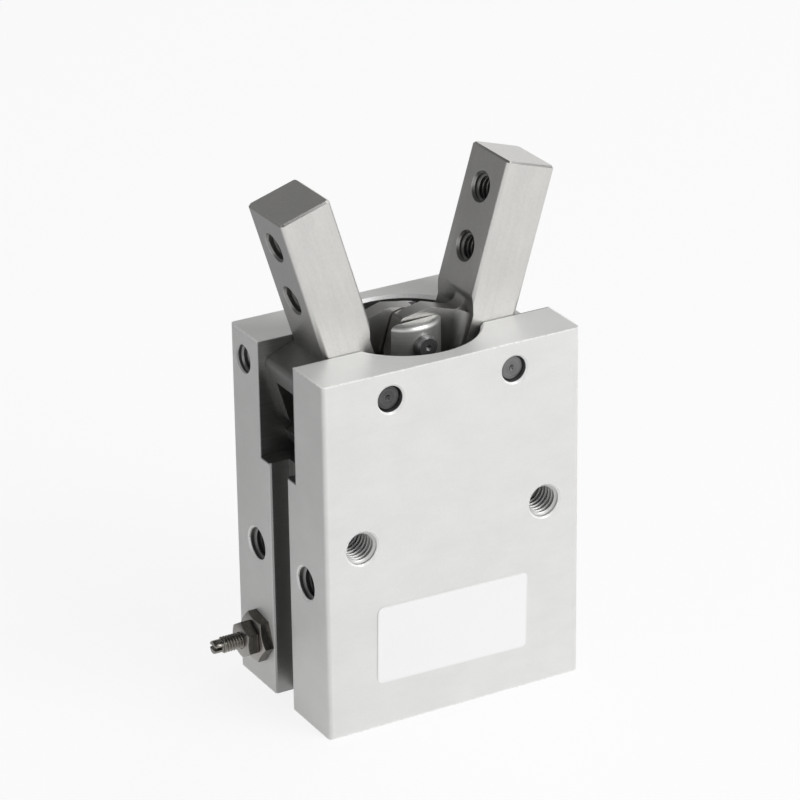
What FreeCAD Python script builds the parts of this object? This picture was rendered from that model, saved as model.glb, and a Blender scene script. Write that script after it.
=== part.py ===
import FreeCAD, Part
import math
import os
import re
import Sketcher

# Pneumatic angular gripper with a 20 mm bore, fingers open. Millimetres, +Z up.
# The origin is the centre of the body's bottom face. X runs along the wide front face,
# and the front face looks towards -Y.

SIZES = {
    # Extruded body, the wide slot for the fingers and the narrow grooves below it.
    "body_width": 42.0,
    "body_depth": 27.6,
    "body_height": 55.4,
    "body_edge_radius": 0.7,
    "finger_slot_width": 10.3,
    "finger_slot_depth": 18.0,
    "side_groove_width": 5.2,
    "side_groove_depth": 3.2,
    "side_groove_edge": 0.4,
    # Stepped bore: pocket for the end cap, cylinder, room for the rod cover and the levers.
    "bore_radius": 10.0,
    "cover_seat_step": 0.9,
    "cap_seat_step": 0.6,
    "cap_recess": 2.3,
    "cap_height": 4.3,
    "cover_height": 8.0,
    "cover_setback": 2.0,
    "clip_groove_width": 1.0,
    "clip_groove_depth": 0.7,
    "clip_ring_width": 2.2,
    "clip_clearance": 0.05,
    "clip_gap_angle": 50.0,
    "clip_turn_angle": 115.0,
    "bore_mouth_chamfer": 0.45,
    # Threads are plain bores at their major radius.
    "mount_thread_radius": 2.5,
    "mount_thread_chamfer": 0.25,
    "front_thread_spacing": 30.2,
    "front_thread_height": 29.2,
    "front_thread_depth": 9.0,
    "side_thread_spacing": 15.0,
    "side_thread_height": 22.6,
    "side_thread_depth": 7.0,
    # Air ports in the rear plate, and the channel from the upper one to the adjuster.
    "port_radius": 2.2,
    "port_depth": 6.8,
    "port_inset": 3.9,
    "port_drop": 4.3,
    "closing_port_drop": 0.9,
    "closing_port_inset": 6.3,
    "channel_radius": 0.7,
    "channel_side_inset": 6.0,
    "channel_back_inset": 2.1,
    "plug_ball_radius": 0.85,
    "plug_ball_recess": 0.15,
    # Lever pivots and the swing of each finger from open to closed.
    "pivot_spacing": 20.2,
    "pivot_drop": 4.2,
    "shaft_radius": 2.0,
    "shaft_recess": 0.9,
    "shaft_rim_chamfer": 0.27,
    "pin_chamfer": 0.3,
    "centre_mark_radius": 0.45,
    "running_clearance": 0.04,
    "seat_clearance": 0.01,
    "open_tilt": 17.0,
    "swing_angle": 20.0,
    "pin_open_angle": 15.0,
    # Finger lever, measured from its pivot: up the finger, outwards and inwards.
    "finger_side_gap": 0.1,
    "finger_length": 27.95,
    "finger_outer": 4.15,
    "finger_inner": 4.1,
    "finger_edge_radius": 0.7,
    "finger_top_edge": 0.3,
    "finger_bend_rise": 2.998,
    "finger_bend_recess": 0.95,
    "finger_root_radius": 1.6,
    "finger_thread_radius": 2.0,
    "finger_thread_chamfer": 0.35,
    "finger_thread_top": 5.4,
    "finger_thread_bend_gap": 5.8,
    "shoulder_height": 4.8,
    "shoulder_drop": 0.5,
    "nose_reach": 9.2,
    "nose_edge_radius": 1.2,
    "hub_drop": 5.5,
    "cheek_thickness": 1.75,
    "cheek_inner": 5.0,
    "cheek_top": 1.0,
    "cheek_end_radius": 1.8,
    "foot_gap_drop": 7.0,
    "foot_gap_width": 0.6,
    "foot_drop": 10.2,
    "foot_inner": 3.2,
    "foot_overreach": 0.5,
    "foot_edge_radius": 1.2,
    "arm_thickness": 2.6,
    "arm_centre_gap": 0.1,
    "arm_overreach": 3.4,
    "arm_peak_inset": 0.75,
    "arm_tip_top": 2.6,
    "arm_tip_bottom": 3.4,
    "arm_drop": 4.5,
    "arm_tip_radius": 0.8,
    "arm_blend_radius": 1.6,
    # Rod with its slotted head, and the pin that drives both levers.
    "joint_pin_radius": 1.75,
    "joint_pin_overhang": 1.0,
    "fork_clearance": 0.08,
    "fork_play": 0.4,
    "head_radius": 5.2,
    "head_rise": 3.25,
    "head_drop": 9.45,
    "head_edge_radius": 0.8,
    "head_side_gap": 0.3,
    "head_slot_drop": 6.55,
    "head_turn_angle": 3.5,
    "rod_radius": 4.0,
    "spigot_radius": 2.5,
    "spigot_share": 0.54,
    "spigot_end_gap": 0.3,
    # Piston with its seal and magnet, and the rubber stops at both ends of its stroke.
    # Its lands and grooves are shares of its height.
    "piston_clearance": 0.06,
    "piston_edge": 0.4,
    "seal_groove_depth": 2.0,
    "seal_groove_share": 0.15,
    "piston_land_share": 0.12,
    "seal_clearance": 0.03,
    "seal_end_gap": 0.05,
    "seal_lip_width": 0.8,
    "seal_lip_share": 0.38,
    "magnet_groove_depth": 2.6,
    "magnet_groove_share": 0.19,
    "magnet_gap": 0.05,
    "upper_stop_height": 1.1,
    "upper_stop_gap": 0.4,
    "upper_stop_inset": 2.0,
    "lower_stop_height": 1.2,
    "lower_stop_inset": 3.0,
    "lower_stop_hole": 3.0,
    "stop_gap": 0.05,
    # Rod cover and end cap, with the seals around them and around the rod.
    "cover_clearance": 0.04,
    "cover_edge": 0.4,
    "cap_dish_radius": 6.5,
    "cap_dish_depth": 0.6,
    "rod_seal_depth": 2.2,
    "rod_seal_width": 2.6,
    "rod_seal_inset": 1.2,
    "cord_radius": 0.6,
    "cord_squeeze": 0.06,
    "cord_groove_width": 1.5,
    # Air adjuster on the left side, measured from the body's left face.
    "adjuster_back_inset": 7.0,
    "adjuster_height": 8.0,
    "hex_corner_cut": 0.3,
    "guide_flats": 6.8,
    "guide_head_height": 1.7,
    "guide_turn_angle": 21.0,
    "guide_shank_radius": 2.5,
    "guide_shank_length": 4.6,
    "guide_pocket_depth": 7.6,
    "guide_clearance": 0.02,
    "guide_chamber_radius": 1.85,
    "guide_chamber_length": 3.0,
    "guide_cord_radius": 0.35,
    "nut_flats": 5.0,
    "nut_height": 1.8,
    "nut_gap": 0.1,
    "nut_turn_angle": 2.0,
    "needle_radius": 1.25,
    "needle_length": 6.6,
    "needle_tip_radius": 1.0,
    "needle_tip_length": 1.5,
    "needle_slot_width": 0.5,
    "needle_slot_depth": 1.1,
    "needle_edge": 0.15,
    "needle_collar_length": 2.1,
    "needle_collar_clearance": 0.05,
    "needle_neck_radius": 0.8,
    "needle_cone_radius": 0.6,
    "needle_point_radius": 0.3,
    "needle_point_length": 1.6,
    "needle_seat_radius": 0.7,
    "needle_cord_radius": 0.3,
    "needle_groove_width": 0.8,
    # Blank adhesive label on the front face.
    "label_width": 25.1,
    "label_height": 12.3,
    "label_thickness": 0.1,
    "label_corner_radius": 1.2,
    "label_centre_across": 0.4,
    "label_centre_height": 12.8,
    "label_tilt": 1.2,
}

doc = FreeCAD.newDocument("AngularGripper")
sheet = doc.addObject("Spreadsheet::Sheet", "Sizes")
for row, (alias, value) in enumerate(SIZES.items(), start=1):
    sheet.set(f"A{row}", alias)
    sheet.set(f"B{row}", str(value))
    sheet.setAlias(f"B{row}", alias)
doc.recompute()

# Places that follow from the sizes, as formulas.
SIDE = "(body_width / 2)"
BACK = "(body_depth / 2)"
CAP_SEAT = "(cap_recess + cap_height)"
CAP_ROOM = "(bore_radius + cap_seat_step)"
COVER_ROOM = "(bore_radius + cover_seat_step)"
SLOT_FLOOR = "(body_height - finger_slot_depth)"
COVER_TOP = f"({SLOT_FLOOR} - cover_setback)"
COVER_SEAT = f"({COVER_TOP} - cover_height)"
HALF_SPACING = "(pivot_spacing / 2)"
PIVOT_HEIGHT = "(body_height - pivot_drop)"
PIN_ANGLES = ("(pin_open_angle * 1deg)", "((swing_angle - pin_open_angle) * 1deg)")
STROKE = f"({HALF_SPACING} * (tan{PIN_ANGLES[0]} + tan{PIN_ANGLES[1]}))"
PIN_HEIGHT = f"({PIVOT_HEIGHT} + {HALF_SPACING} * tan{PIN_ANGLES[0]})"
PISTON_TOP = f"({COVER_SEAT} - upper_stop_height - stop_gap)"
PISTON_BOTTOM = f"({CAP_SEAT} + lower_stop_height + stop_gap + {STROKE})"
PISTON_HEIGHT = f"({PISTON_TOP} - {PISTON_BOTTOM})"
PISTON_LAND = f"(piston_land_share * {PISTON_HEIGHT})"
MAGNET_ROOM = f"(magnet_groove_share * {PISTON_HEIGHT})"
SEAL_ROOM = f"(seal_groove_share * {PISTON_HEIGHT})"
SPIGOT = f"(spigot_share * {PISTON_HEIGHT})"
CHANNEL_ACROSS = f"(channel_side_inset - {SIDE})"
CHANNEL_DEPTH = f"({BACK} - channel_back_inset)"
ADJUSTER_DEPTH = f"({BACK} - adjuster_back_inset)"
OPENING_PORT = (f"({BACK} - port_inset)", "(body_height - port_drop)")
CLOSING_PORT = (f"({BACK} - closing_port_inset)", f"({COVER_SEAT} - closing_port_drop)")
FINGER_WIDTH = "(finger_slot_width - 2 * finger_side_gap)"
FINGER_BEND = "(shoulder_height + finger_bend_rise)"
LEVER_ROOT = "(finger_bend_recess - finger_inner)"
BEYOND = "(2 * body_height)"
THROUGH = "(4 * body_height)"

# Directions for turned pieces: along Y, along -X, and upright. The rod's head stands a little askew.
UPRIGHT = "rotation(vector(0; 0; 1); 0)"
ASKEW = "rotation(vector(0; 0; 1); head_turn_angle)"
ALONG_Y = "rotation(vector(1; 0; 0); 90)"
ALONG_LEFT = "rotation(vector(0; 1; 0); -90)"

PIECES = []
WORDS = re.compile(r"[a-z]+(?:_[a-z]+)+")


def bind(item, prop, text):
    """Ties a property to a formula of the sizes."""
    item.setExpression(prop, WORDS.sub(lambda word: "Sizes." + word.group(), text))


def size(alias):
    """Reads one size from the sheet."""
    return float(sheet.get(alias))


def list_piece(piece, label):
    """Names a piece and lists it for the checks and the export."""
    piece.Label = label
    PIECES.append(piece)
    return piece


def new_body(label):
    """An empty body of that name."""
    return list_piece(doc.addObject("PartDesign::Body", label), label)


def place(piece, across="0", depth="0", up="0", turn=UPRIGHT):
    """Turns a piece and moves it to where it belongs."""
    bind(piece, "Placement", f"placement(vector({across}; {depth}; {up}); {turn})")


def new_sketch(body, role, shift):
    """A sketch on one of the body's origin planes, moved along the plane's normal."""
    plane = next(item for item in body.Origin.OriginFeatures if item.Role == role)
    sketch = body.newObject("Sketcher::SketchObject", body.Name + "_sketch")
    sketch.AttachmentSupport = [(plane, "")]
    sketch.MapMode = "FlatFace"
    bind(sketch, "AttachmentOffset.Base.z", shift)
    return sketch


def hold(sketch, kind, geometry, place_code, text, start):
    """Dimensions a point from the sketch's origin and ties that to a formula."""
    constraint = Sketcher.Constraint(kind, -1, 1, geometry, place_code, start)
    bind(sketch, f"Constraints[{sketch.addConstraint(constraint)}]", text)


def polygon(body, role, corners, shift="0"):
    """Closed outline through corners, each a pair of formulas."""
    sketch = new_sketch(body, role, shift)
    count = len(corners)
    turn = 2 * math.pi / count
    start = [(math.cos(turn * number), math.sin(turn * number)) for number in range(count)]
    for number in range(count):
        first = FreeCAD.Vector(*start[number], 0)
        last = FreeCAD.Vector(*start[(number + 1) % count], 0)
        sketch.addGeometry(Part.LineSegment(first, last), False)
    for number in range(count):
        sketch.addConstraint(Sketcher.Constraint("Coincident", number, 2, (number + 1) % count, 1))
    for number, (across, up) in enumerate(corners):
        hold(sketch, "DistanceX", number, 1, across, start[number][0])
        hold(sketch, "DistanceY", number, 1, up, start[number][1])
    return sketch


def rectangle(low_across, high_across, low_up, high_up):
    """Corners of a rectangle."""
    return [
        (low_across, low_up),
        (high_across, low_up),
        (high_across, high_up),
        (low_across, high_up),
    ]


def circle(body, role, across, up, radius, shift="0"):
    """One circle whose centre and radius are formulas."""
    sketch = new_sketch(body, role, shift)
    sketch.addGeometry(Part.Circle(FreeCAD.Vector(1, 1, 0), FreeCAD.Vector(0, 0, 1), 1), False)
    hold(sketch, "DistanceX", 0, 3, across, 1.0)
    hold(sketch, "DistanceY", 0, 3, up, 1.0)
    number = sketch.addConstraint(Sketcher.Constraint("Radius", 0, 1.0))
    bind(sketch, f"Constraints[{number}]", radius)
    return sketch


def extrude(body, kind, sketch, length, both_ways, flipped):
    """A pad or a pocket of a sketch."""
    feature = body.newObject(kind, body.Name + "_feature")
    feature.Profile = sketch
    feature.SideType = "Symmetric" if both_ways else "One side"
    feature.Reversed = flipped
    bind(feature, "Length", length)
    doc.recompute()
    return feature


def pad(body, sketch, length, both_ways=False, flipped=False):
    """Thickens a sketch into material."""
    return extrude(body, "PartDesign::Pad", sketch, length, both_ways, flipped)


def check_cut(body, before):
    """Stops if the last feature took nothing away."""
    if not body.Shape.Volume < before:
        raise RuntimeError(f"{body.Label}: {body.Tip.Name} cuts nothing")


def pocket(body, sketch, length, both_ways=False, flipped=False):
    """Cuts a sketch into the material."""
    before = body.Shape.Volume
    feature = extrude(body, "PartDesign::Pocket", sketch, length, both_ways, flipped)
    check_cut(body, before)
    return feature


def turn_outline(body, kind, corners, angle):
    """Turns an outline of radius and height about the body's own Z axis."""
    sketch = polygon(body, "XZ_Plane", corners)
    feature = body.newObject(kind, body.Name + "_feature")
    feature.Profile = sketch
    feature.ReferenceAxis = (sketch, ["V_Axis"])
    bind(feature, "Angle", angle)
    doc.recompute()
    return feature


def turned(label, corners, angle="360"):
    """A new body turned from an outline of radius and height."""
    body = new_body(label)
    turn_outline(body, "PartDesign::Revolution", corners, angle)
    return body


def turn_away(body, corners):
    """Cuts a turned outline out of a body."""
    before = body.Shape.Volume
    turn_outline(body, "PartDesign::Groove", corners, "360")
    check_cut(body, before)


def dress(body, kind, prop, amount, wanted):
    """Fillets or chamfers the edges that a test picks."""
    base = body.Tip
    names = [f"Edge{number}" for number, edge in enumerate(base.Shape.Edges, start=1) if wanted(edge)]
    if not names:
        raise RuntimeError(f"{body.Label}: no edge for {amount}")
    feature = body.newObject(kind, body.Name + "_feature")
    feature.Base = (base, names)
    bind(feature, prop, amount)
    doc.recompute()


def fillet(body, radius, wanted):
    """Rounds edges."""
    dress(body, "PartDesign::Fillet", "Radius", radius, wanted)


def chamfer(body, amount, wanted):
    """Bevels edges."""
    dress(body, "PartDesign::Chamfer", "Size", amount, wanted)


def is_near(first, second):
    """Whether two lengths agree to a hundredth."""
    return abs(first - second) < 0.01


def rims(radius, axis, levels):
    """Test for round edges of one radius whose centre lies at a level along an axis."""
    def test(edge):
        if not isinstance(edge.Curve, Part.Circle) or not is_near(edge.Curve.Radius, radius):
            return False
        return any(is_near(getattr(edge.Curve.Center, axis), level) for level in levels)
    return test


def runs_along(edge, axis):
    """Whether an edge is a straight one along an axis."""
    if not isinstance(edge.Curve, (Part.Line, Part.LineSegment)):
        return False
    return abs(getattr(edge.Curve.Direction, axis)) > 0.999


def make_body():
    """Extruded block with its slots, stepped bore, threads, pivot bores and air channels."""
    body = new_body("body")
    outline = rectangle(f"-{SIDE}", SIDE, f"-{BACK}", BACK)
    pad(body, polygon(body, "XY_Plane", outline), "body_height")
    fillet(body, "body_edge_radius", lambda edge: runs_along(edge, "z"))
    cut_slots(body)
    turn_away(body, [
        ("0", f"-{BEYOND}"),
        (CAP_ROOM, f"-{BEYOND}"),
        (CAP_ROOM, "cap_recess - clip_groove_width"),
        (f"{CAP_ROOM} + clip_groove_depth", "cap_recess - clip_groove_width"),
        (f"{CAP_ROOM} + clip_groove_depth", "cap_recess"),
        (CAP_ROOM, "cap_recess"),
        (CAP_ROOM, CAP_SEAT),
        ("bore_radius", CAP_SEAT),
        ("bore_radius", COVER_SEAT),
        (COVER_ROOM, COVER_SEAT),
        (COVER_ROOM, COVER_TOP),
        (f"{COVER_ROOM} + clip_groove_depth", COVER_TOP),
        (f"{COVER_ROOM} + clip_groove_depth", f"{COVER_TOP} + clip_groove_width"),
        (COVER_ROOM, f"{COVER_TOP} + clip_groove_width"),
        (COVER_ROOM, "body_height - bore_mouth_chamfer"),
        (f"{COVER_ROOM} + bore_mouth_chamfer", "body_height"),
        (f"{COVER_ROOM} + bore_mouth_chamfer", BEYOND),
        ("0", BEYOND),
    ])
    cut_threads(body)
    cut_air_channels(body)
    cut_adjuster_pocket(body)


def cut_slots(body):
    """The finger slot across the top and the sensor grooves down both sides."""
    half_slot = "finger_slot_width / 2"
    slot = rectangle(f"-{half_slot}", half_slot, SLOT_FLOOR, BEYOND)
    pocket(body, polygon(body, "YZ_Plane", slot), THROUGH, both_ways=True)
    half_groove = "side_groove_width / 2"
    for low, high in ((f"-{BEYOND}", f"side_groove_depth - {SIDE}"),
                      (f"{SIDE} - side_groove_depth", BEYOND)):
        groove = rectangle(low, high, f"-{half_groove}", half_groove)
        pocket(body, polygon(body, "XY_Plane", groove), THROUGH, both_ways=True)

    def is_mouth(edge):
        middle = edge.CenterOfMass
        if not runs_along(edge, "z") or not is_near(abs(middle.x), size("body_width") / 2):
            return False
        return is_near(abs(middle.y), size("side_groove_width") / 2)
    fillet(body, "side_groove_edge", is_mouth)


def cut_threads(body):
    """Mount threads in the front and left faces, and the bores for the lever shafts."""
    shaft_bore = "shaft_radius + seat_clearance"
    for sign in ("-", ""):
        across = f"{sign}front_thread_spacing / 2"
        mouth = circle(body, "XZ_Plane", across, "front_thread_height", "mount_thread_radius", BACK)
        pocket(body, mouth, "front_thread_depth")
        depth = f"{sign}side_thread_spacing / 2"
        mouth = circle(body, "YZ_Plane", depth, "side_thread_height", "mount_thread_radius",
                       f"-{SIDE}")
        pocket(body, mouth, "side_thread_depth", flipped=True)
        bore = circle(body, "XZ_Plane", f"{sign}{HALF_SPACING}", PIVOT_HEIGHT, shaft_bore)
        pocket(body, bore, THROUGH, both_ways=True)
    face = size("body_depth") / 2
    front_threads = rims(size("mount_thread_radius"), "y", [-face])
    side_threads = rims(size("mount_thread_radius"), "x", [-size("body_width") / 2])
    chamfer(body, "mount_thread_chamfer", lambda edge: front_threads(edge) or side_threads(edge))
    shaft_rims = rims(size("shaft_radius") + size("seat_clearance"), "y", [-face, face])
    chamfer(body, "shaft_rim_chamfer", shaft_rims)


def cut_air_channels(body):
    """Two ports, the drilled ways from them to the cylinder, and the seats of the plug balls."""
    depth, up = OPENING_PORT
    mouth = circle(body, "YZ_Plane", depth, up, "port_radius", f"-{SIDE}")
    pocket(body, mouth, "port_depth", flipped=True)
    riser = circle(body, "XY_Plane", CHANNEL_ACROSS, CHANNEL_DEPTH, "channel_radius")
    pocket(body, riser, f"{up} - port_radius / 2", flipped=True)
    seat = circle(body, "XY_Plane", CHANNEL_ACROSS, CHANNEL_DEPTH, "plug_ball_radius")
    pocket(body, seat, "plug_ball_recess + 2 * plug_ball_radius", flipped=True)
    link = circle(body, "XZ_Plane", CHANNEL_ACROSS, "adjuster_height", "channel_radius", f"-{BACK}")
    pocket(body, link, "adjuster_back_inset", flipped=True)
    seat = circle(body, "XZ_Plane", CHANNEL_ACROSS, "adjuster_height", "plug_ball_radius",
                  f"-{BACK}")
    pocket(body, seat, "plug_ball_recess + 2 * plug_ball_radius", flipped=True)
    depth, up = CLOSING_PORT
    mouth = circle(body, "YZ_Plane", depth, up, "port_radius", SIDE)
    pocket(body, mouth, "port_depth")
    pilot = circle(body, "YZ_Plane", depth, up, "channel_radius", SIDE)
    pocket(body, pilot, f"{SIDE} - bore_radius / 2")


def cut_adjuster_pocket(body):
    """Stepped pocket for the adjuster, from its gasket's seat to the needle's seat."""
    for radius, depth in (
            ("guide_shank_radius + 2 * guide_cord_radius + cord_squeeze", "2 * guide_cord_radius"),
            ("guide_shank_radius + guide_clearance", "guide_pocket_depth"),
            ("needle_seat_radius", f"{SIDE} - bore_radius / 2")):
        mouth = circle(body, "YZ_Plane", ADJUSTER_DEPTH, "adjuster_height", radius, f"-{SIDE}")
        pocket(body, mouth, depth, flipped=True)


def make_finger(label, half_turn):
    """One finger lever, in its own frame: X outwards, Z up the finger, pivot at the origin."""
    finger = list_piece(doc.addObject("Part::MultiFuse", label), label)
    finger.Shapes = [make_bar(label + "_bar"), make_hub(label + "_hub"), make_arm(label + "_arm")]
    turn = "rotation(vector(0; 1; 0); open_tilt)"
    across = HALF_SPACING
    if half_turn:
        turn = f"rotation(vector(0; 0; 1); 180) * {turn}"
        across = f"-{HALF_SPACING}"
    place(finger, across=across, up=PIVOT_HEIGHT, turn=turn)


def bore_for_shaft(body):
    """Running bore through a part of the lever, along Y."""
    bore = circle(body, "XZ_Plane", "0", "0", "shaft_radius + running_clearance")
    pocket(body, bore, THROUGH, both_ways=True)


def make_bar(name):
    """The finger itself: rounded bar with a bevelled root and two mount threads."""
    bar = doc.addObject("PartDesign::Body", name)
    section = rectangle("-finger_inner", "finger_outer", f"-{FINGER_WIDTH} / 2",
                        f"{FINGER_WIDTH} / 2")
    pad(bar, polygon(bar, "XY_Plane", section), "finger_length")
    fillet(bar, "finger_edge_radius", lambda edge: runs_along(edge, "z"))
    top = size("finger_length")
    chamfer(bar, "finger_top_edge", lambda edge: all(is_near(end.Z, top) for end in edge.Vertexes))
    pocket(bar, polygon(bar, "XZ_Plane", [
        (f"-{BEYOND}", FINGER_BEND),
        ("-finger_inner", FINGER_BEND),
        (LEVER_ROOT, "shoulder_height"),
        (LEVER_ROOT, f"-{BEYOND}"),
        (f"-{BEYOND}", f"-{BEYOND}"),
    ]), THROUGH, both_ways=True)
    for up in ("finger_length - finger_thread_top", f"{FINGER_BEND} + finger_thread_bend_gap"):
        thread = circle(bar, "YZ_Plane", "0", up, "finger_thread_radius")
        pocket(bar, thread, THROUGH, both_ways=True)
    faces = [size("finger_outer"), -size("finger_inner")]
    chamfer(bar, "finger_thread_chamfer", rims(size("finger_thread_radius"), "x", faces))
    bore_for_shaft(bar)
    return bar


def make_hub(name):
    """Hub around the shaft, with the outer block, its cheek plate and the foot below it."""
    hub = doc.addObject("PartDesign::Body", name)
    pad(hub, polygon(hub, "XZ_Plane", [
        (LEVER_ROOT, "shoulder_height"),
        (LEVER_ROOT, "-hub_drop"),
        ("foot_inner", "-hub_drop"),
        ("foot_inner", "-foot_drop"),
        ("nose_reach + foot_overreach", "-foot_drop"),
        ("nose_reach + foot_overreach", "-foot_gap_drop"),
        ("nose_reach", "-foot_gap_drop"),
        ("nose_reach", "shoulder_height - shoulder_drop"),
        ("finger_outer", "shoulder_height"),
    ]), FINGER_WIDTH, both_ways=True)
    nose = size("nose_reach")
    toe = nose + size("foot_overreach")

    def is_at(edge, across, up):
        middle = edge.CenterOfMass
        return runs_along(edge, "y") and is_near(middle.x, across) and is_near(middle.z, up)
    shoulder = size("shoulder_height") - size("shoulder_drop")
    fillet(hub, "nose_edge_radius", lambda edge: is_at(edge, nose, shoulder))
    fillet(hub, "foot_edge_radius", lambda edge: is_at(edge, toe, -size("foot_drop")))
    recess = rectangle("cheek_inner", BEYOND, "-foot_gap_drop", "cheek_top")
    plane = f"{FINGER_WIDTH} / 2 - cheek_thickness"
    pocket(hub, polygon(hub, "XZ_Plane", recess, plane), THROUGH)
    cut = rectangle("cheek_inner", BEYOND, "-foot_gap_drop - foot_gap_width", "-foot_gap_drop")
    pocket(hub, polygon(hub, "XZ_Plane", cut), THROUGH, both_ways=True)
    fillet(hub, "cheek_end_radius", lambda edge: is_at(edge, nose, -size("foot_gap_drop")))
    bore_for_shaft(hub)
    return hub


def make_arm(name):
    """Inner arm beside the centre plane, with the slot that the joint pin runs in."""
    arm = doc.addObject("PartDesign::Body", name)
    peak = f"arm_peak_inset - {HALF_SPACING}"
    tip = f"-arm_overreach - {HALF_SPACING}"
    pad(arm, polygon(arm, "XZ_Plane", [
        ("0", FINGER_BEND),
        ("-finger_inner", FINGER_BEND),
        (LEVER_ROOT, "shoulder_height"),
        (peak, "shoulder_height"),
        (tip, "arm_tip_top"),
        (tip, "-arm_tip_bottom"),
        (peak, "-arm_drop"),
        (LEVER_ROOT, "-arm_drop"),
        ("0", "-arm_drop"),
    ], "arm_centre_gap"), "arm_thickness")
    root = size("finger_bend_recess") - size("finger_inner")
    shoulder = size("shoulder_height")

    def is_root(edge):
        middle = edge.CenterOfMass
        return is_near(middle.x, root) and is_near(middle.z, shoulder)
    fillet(arm, "finger_root_radius", is_root)
    end = size("arm_overreach") + size("pivot_spacing") / 2

    def is_tip(edge):
        middle = edge.CenterOfMass
        return is_near(middle.x, -end) and is_near(middle.z, size("arm_tip_top"))
    fillet(arm, "arm_tip_radius", is_tip)
    outer = "(-arm_centre_gap - arm_thickness)"
    for low, high, middle in (
            (f"{outer} - arm_blend_radius", outer, f"{outer} - arm_blend_radius"),
            ("-arm_centre_gap", "arm_blend_radius - arm_centre_gap", "arm_blend_radius - arm_centre_gap")):
        gusset = rectangle(f"{LEVER_ROOT} - arm_blend_radius", LEVER_ROOT, low, high)
        pad(arm, polygon(arm, "XY_Plane", gusset, "-arm_drop"), "arm_drop + shoulder_height")
        mill = circle(arm, "XY_Plane", f"{LEVER_ROOT} - arm_blend_radius", middle, "arm_blend_radius")
        pocket(arm, mill, THROUGH, both_ways=True)
    bore_for_shaft(arm)
    reach = f"({HALF_SPACING} / 2 * (1 + 1 / cos{PIN_ANGLES[0]}))"
    pin_tilt = "((open_tilt - pin_open_angle) * 1deg)"
    across = f"-{reach} * cos{pin_tilt}"
    up = f"-{reach} * sin{pin_tilt}"
    radius = "(joint_pin_radius + fork_clearance)"
    for sign in ("-", "+"):
        end = circle(arm, "XZ_Plane", f"{across} {sign} fork_play", up, radius)
        pocket(arm, end, THROUGH, both_ways=True)
    waist = rectangle(f"{across} - fork_play", f"{across} + fork_play",
                      f"{up} - {radius}", f"{up} + {radius}")
    pocket(arm, polygon(arm, "XZ_Plane", waist), THROUGH, both_ways=True)
    return arm


def make_pin(label, radius, half_length, across, up, turn=ALONG_Y):
    """Round pin along Y with chamfered ends and a centre mark in each."""
    pin = turned(label, [
        ("0", f"centre_mark_radius - {half_length}"),
        ("centre_mark_radius", f"-{half_length}"),
        (f"{radius} - pin_chamfer", f"-{half_length}"),
        (radius, f"pin_chamfer - {half_length}"),
        (radius, f"{half_length} - pin_chamfer"),
        (f"{radius} - pin_chamfer", half_length),
        ("centre_mark_radius", half_length),
        ("0", f"{half_length} - centre_mark_radius"),
    ])
    place(pin, across=across, up=up, turn=turn)


def make_joint_rod():
    """Piston rod: spigot, polished shank and slotted head with a rounded top rim."""
    head_bottom = f"({PIN_HEIGHT} - head_drop - {PISTON_TOP})"
    head_top = f"({PIN_HEIGHT} + head_rise - {PISTON_TOP})"
    pin_level = f"({PIN_HEIGHT} - {PISTON_TOP})"
    rod = turned("joint_rod", [
        ("0", f"-{SPIGOT}"),
        ("spigot_radius", f"-{SPIGOT}"),
        ("spigot_radius", "0"),
        ("rod_radius", "0"),
        ("rod_radius", head_bottom),
        ("head_radius - pin_chamfer", head_bottom),
        ("head_radius", f"{head_bottom} + pin_chamfer"),
        ("head_radius", head_top),
        ("0", head_top),
    ])
    top = rod.Shape.BoundBox.ZMax
    fillet(rod, "head_edge_radius", rims(size("head_radius"), "z", [top]))
    half_slot = "(arm_centre_gap + arm_thickness + head_side_gap)"
    slot = rectangle(f"-{half_slot}", half_slot, f"{pin_level} - head_slot_drop", BEYOND)
    pocket(rod, polygon(rod, "YZ_Plane", slot), THROUGH, both_ways=True)
    hole = circle(rod, "XZ_Plane", "0", pin_level, "joint_pin_radius + seat_clearance")
    pocket(rod, hole, THROUGH, both_ways=True)
    place(rod, up=PISTON_TOP, turn=ASKEW)


def make_piston():
    """Piston with its edges, its magnet and seal grooves, and the bore for the rod's spigot."""
    radius = "(bore_radius - piston_clearance)"
    magnet_floor = f"{radius} - magnet_groove_depth"
    magnet_top = f"{PISTON_LAND} + {MAGNET_ROOM}"
    seal_floor = f"{radius} - seal_groove_depth"
    seal_top = f"{PISTON_HEIGHT} - {PISTON_LAND}"
    seal_bottom = f"{seal_top} - {SEAL_ROOM}"
    spigot_bore = "spigot_radius + seat_clearance"
    spigot_end = f"{PISTON_HEIGHT} - {SPIGOT} - spigot_end_gap"
    piston = turned("piston", [
        ("0", "0"),
        (f"{radius} - piston_edge", "0"),
        (radius, "piston_edge"),
        (radius, PISTON_LAND),
        (magnet_floor, PISTON_LAND),
        (magnet_floor, magnet_top),
        (radius, magnet_top),
        (radius, seal_bottom),
        (seal_floor, seal_bottom),
        (seal_floor, seal_top),
        (radius, seal_top),
        (radius, f"{PISTON_HEIGHT} - piston_edge"),
        (f"{radius} - piston_edge", PISTON_HEIGHT),
        (spigot_bore, PISTON_HEIGHT),
        (spigot_bore, spigot_end),
        ("0", spigot_end),
    ])
    place(piston, up=PISTON_BOTTOM)


def make_lip_seal(label, inner, outer, width, up):
    """Rubber ring with a groove between two lips in its upper face."""
    middle = f"(({inner} + {outer}) / 2)"
    seal = turned(label, [
        (inner, "0"),
        (outer, "0"),
        (outer, width),
        (f"{middle} + seal_lip_width / 2", width),
        (middle, f"{width} * (1 - seal_lip_share)"),
        (f"{middle} - seal_lip_width / 2", width),
        (inner, width),
    ])
    place(seal, up=up)


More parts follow.
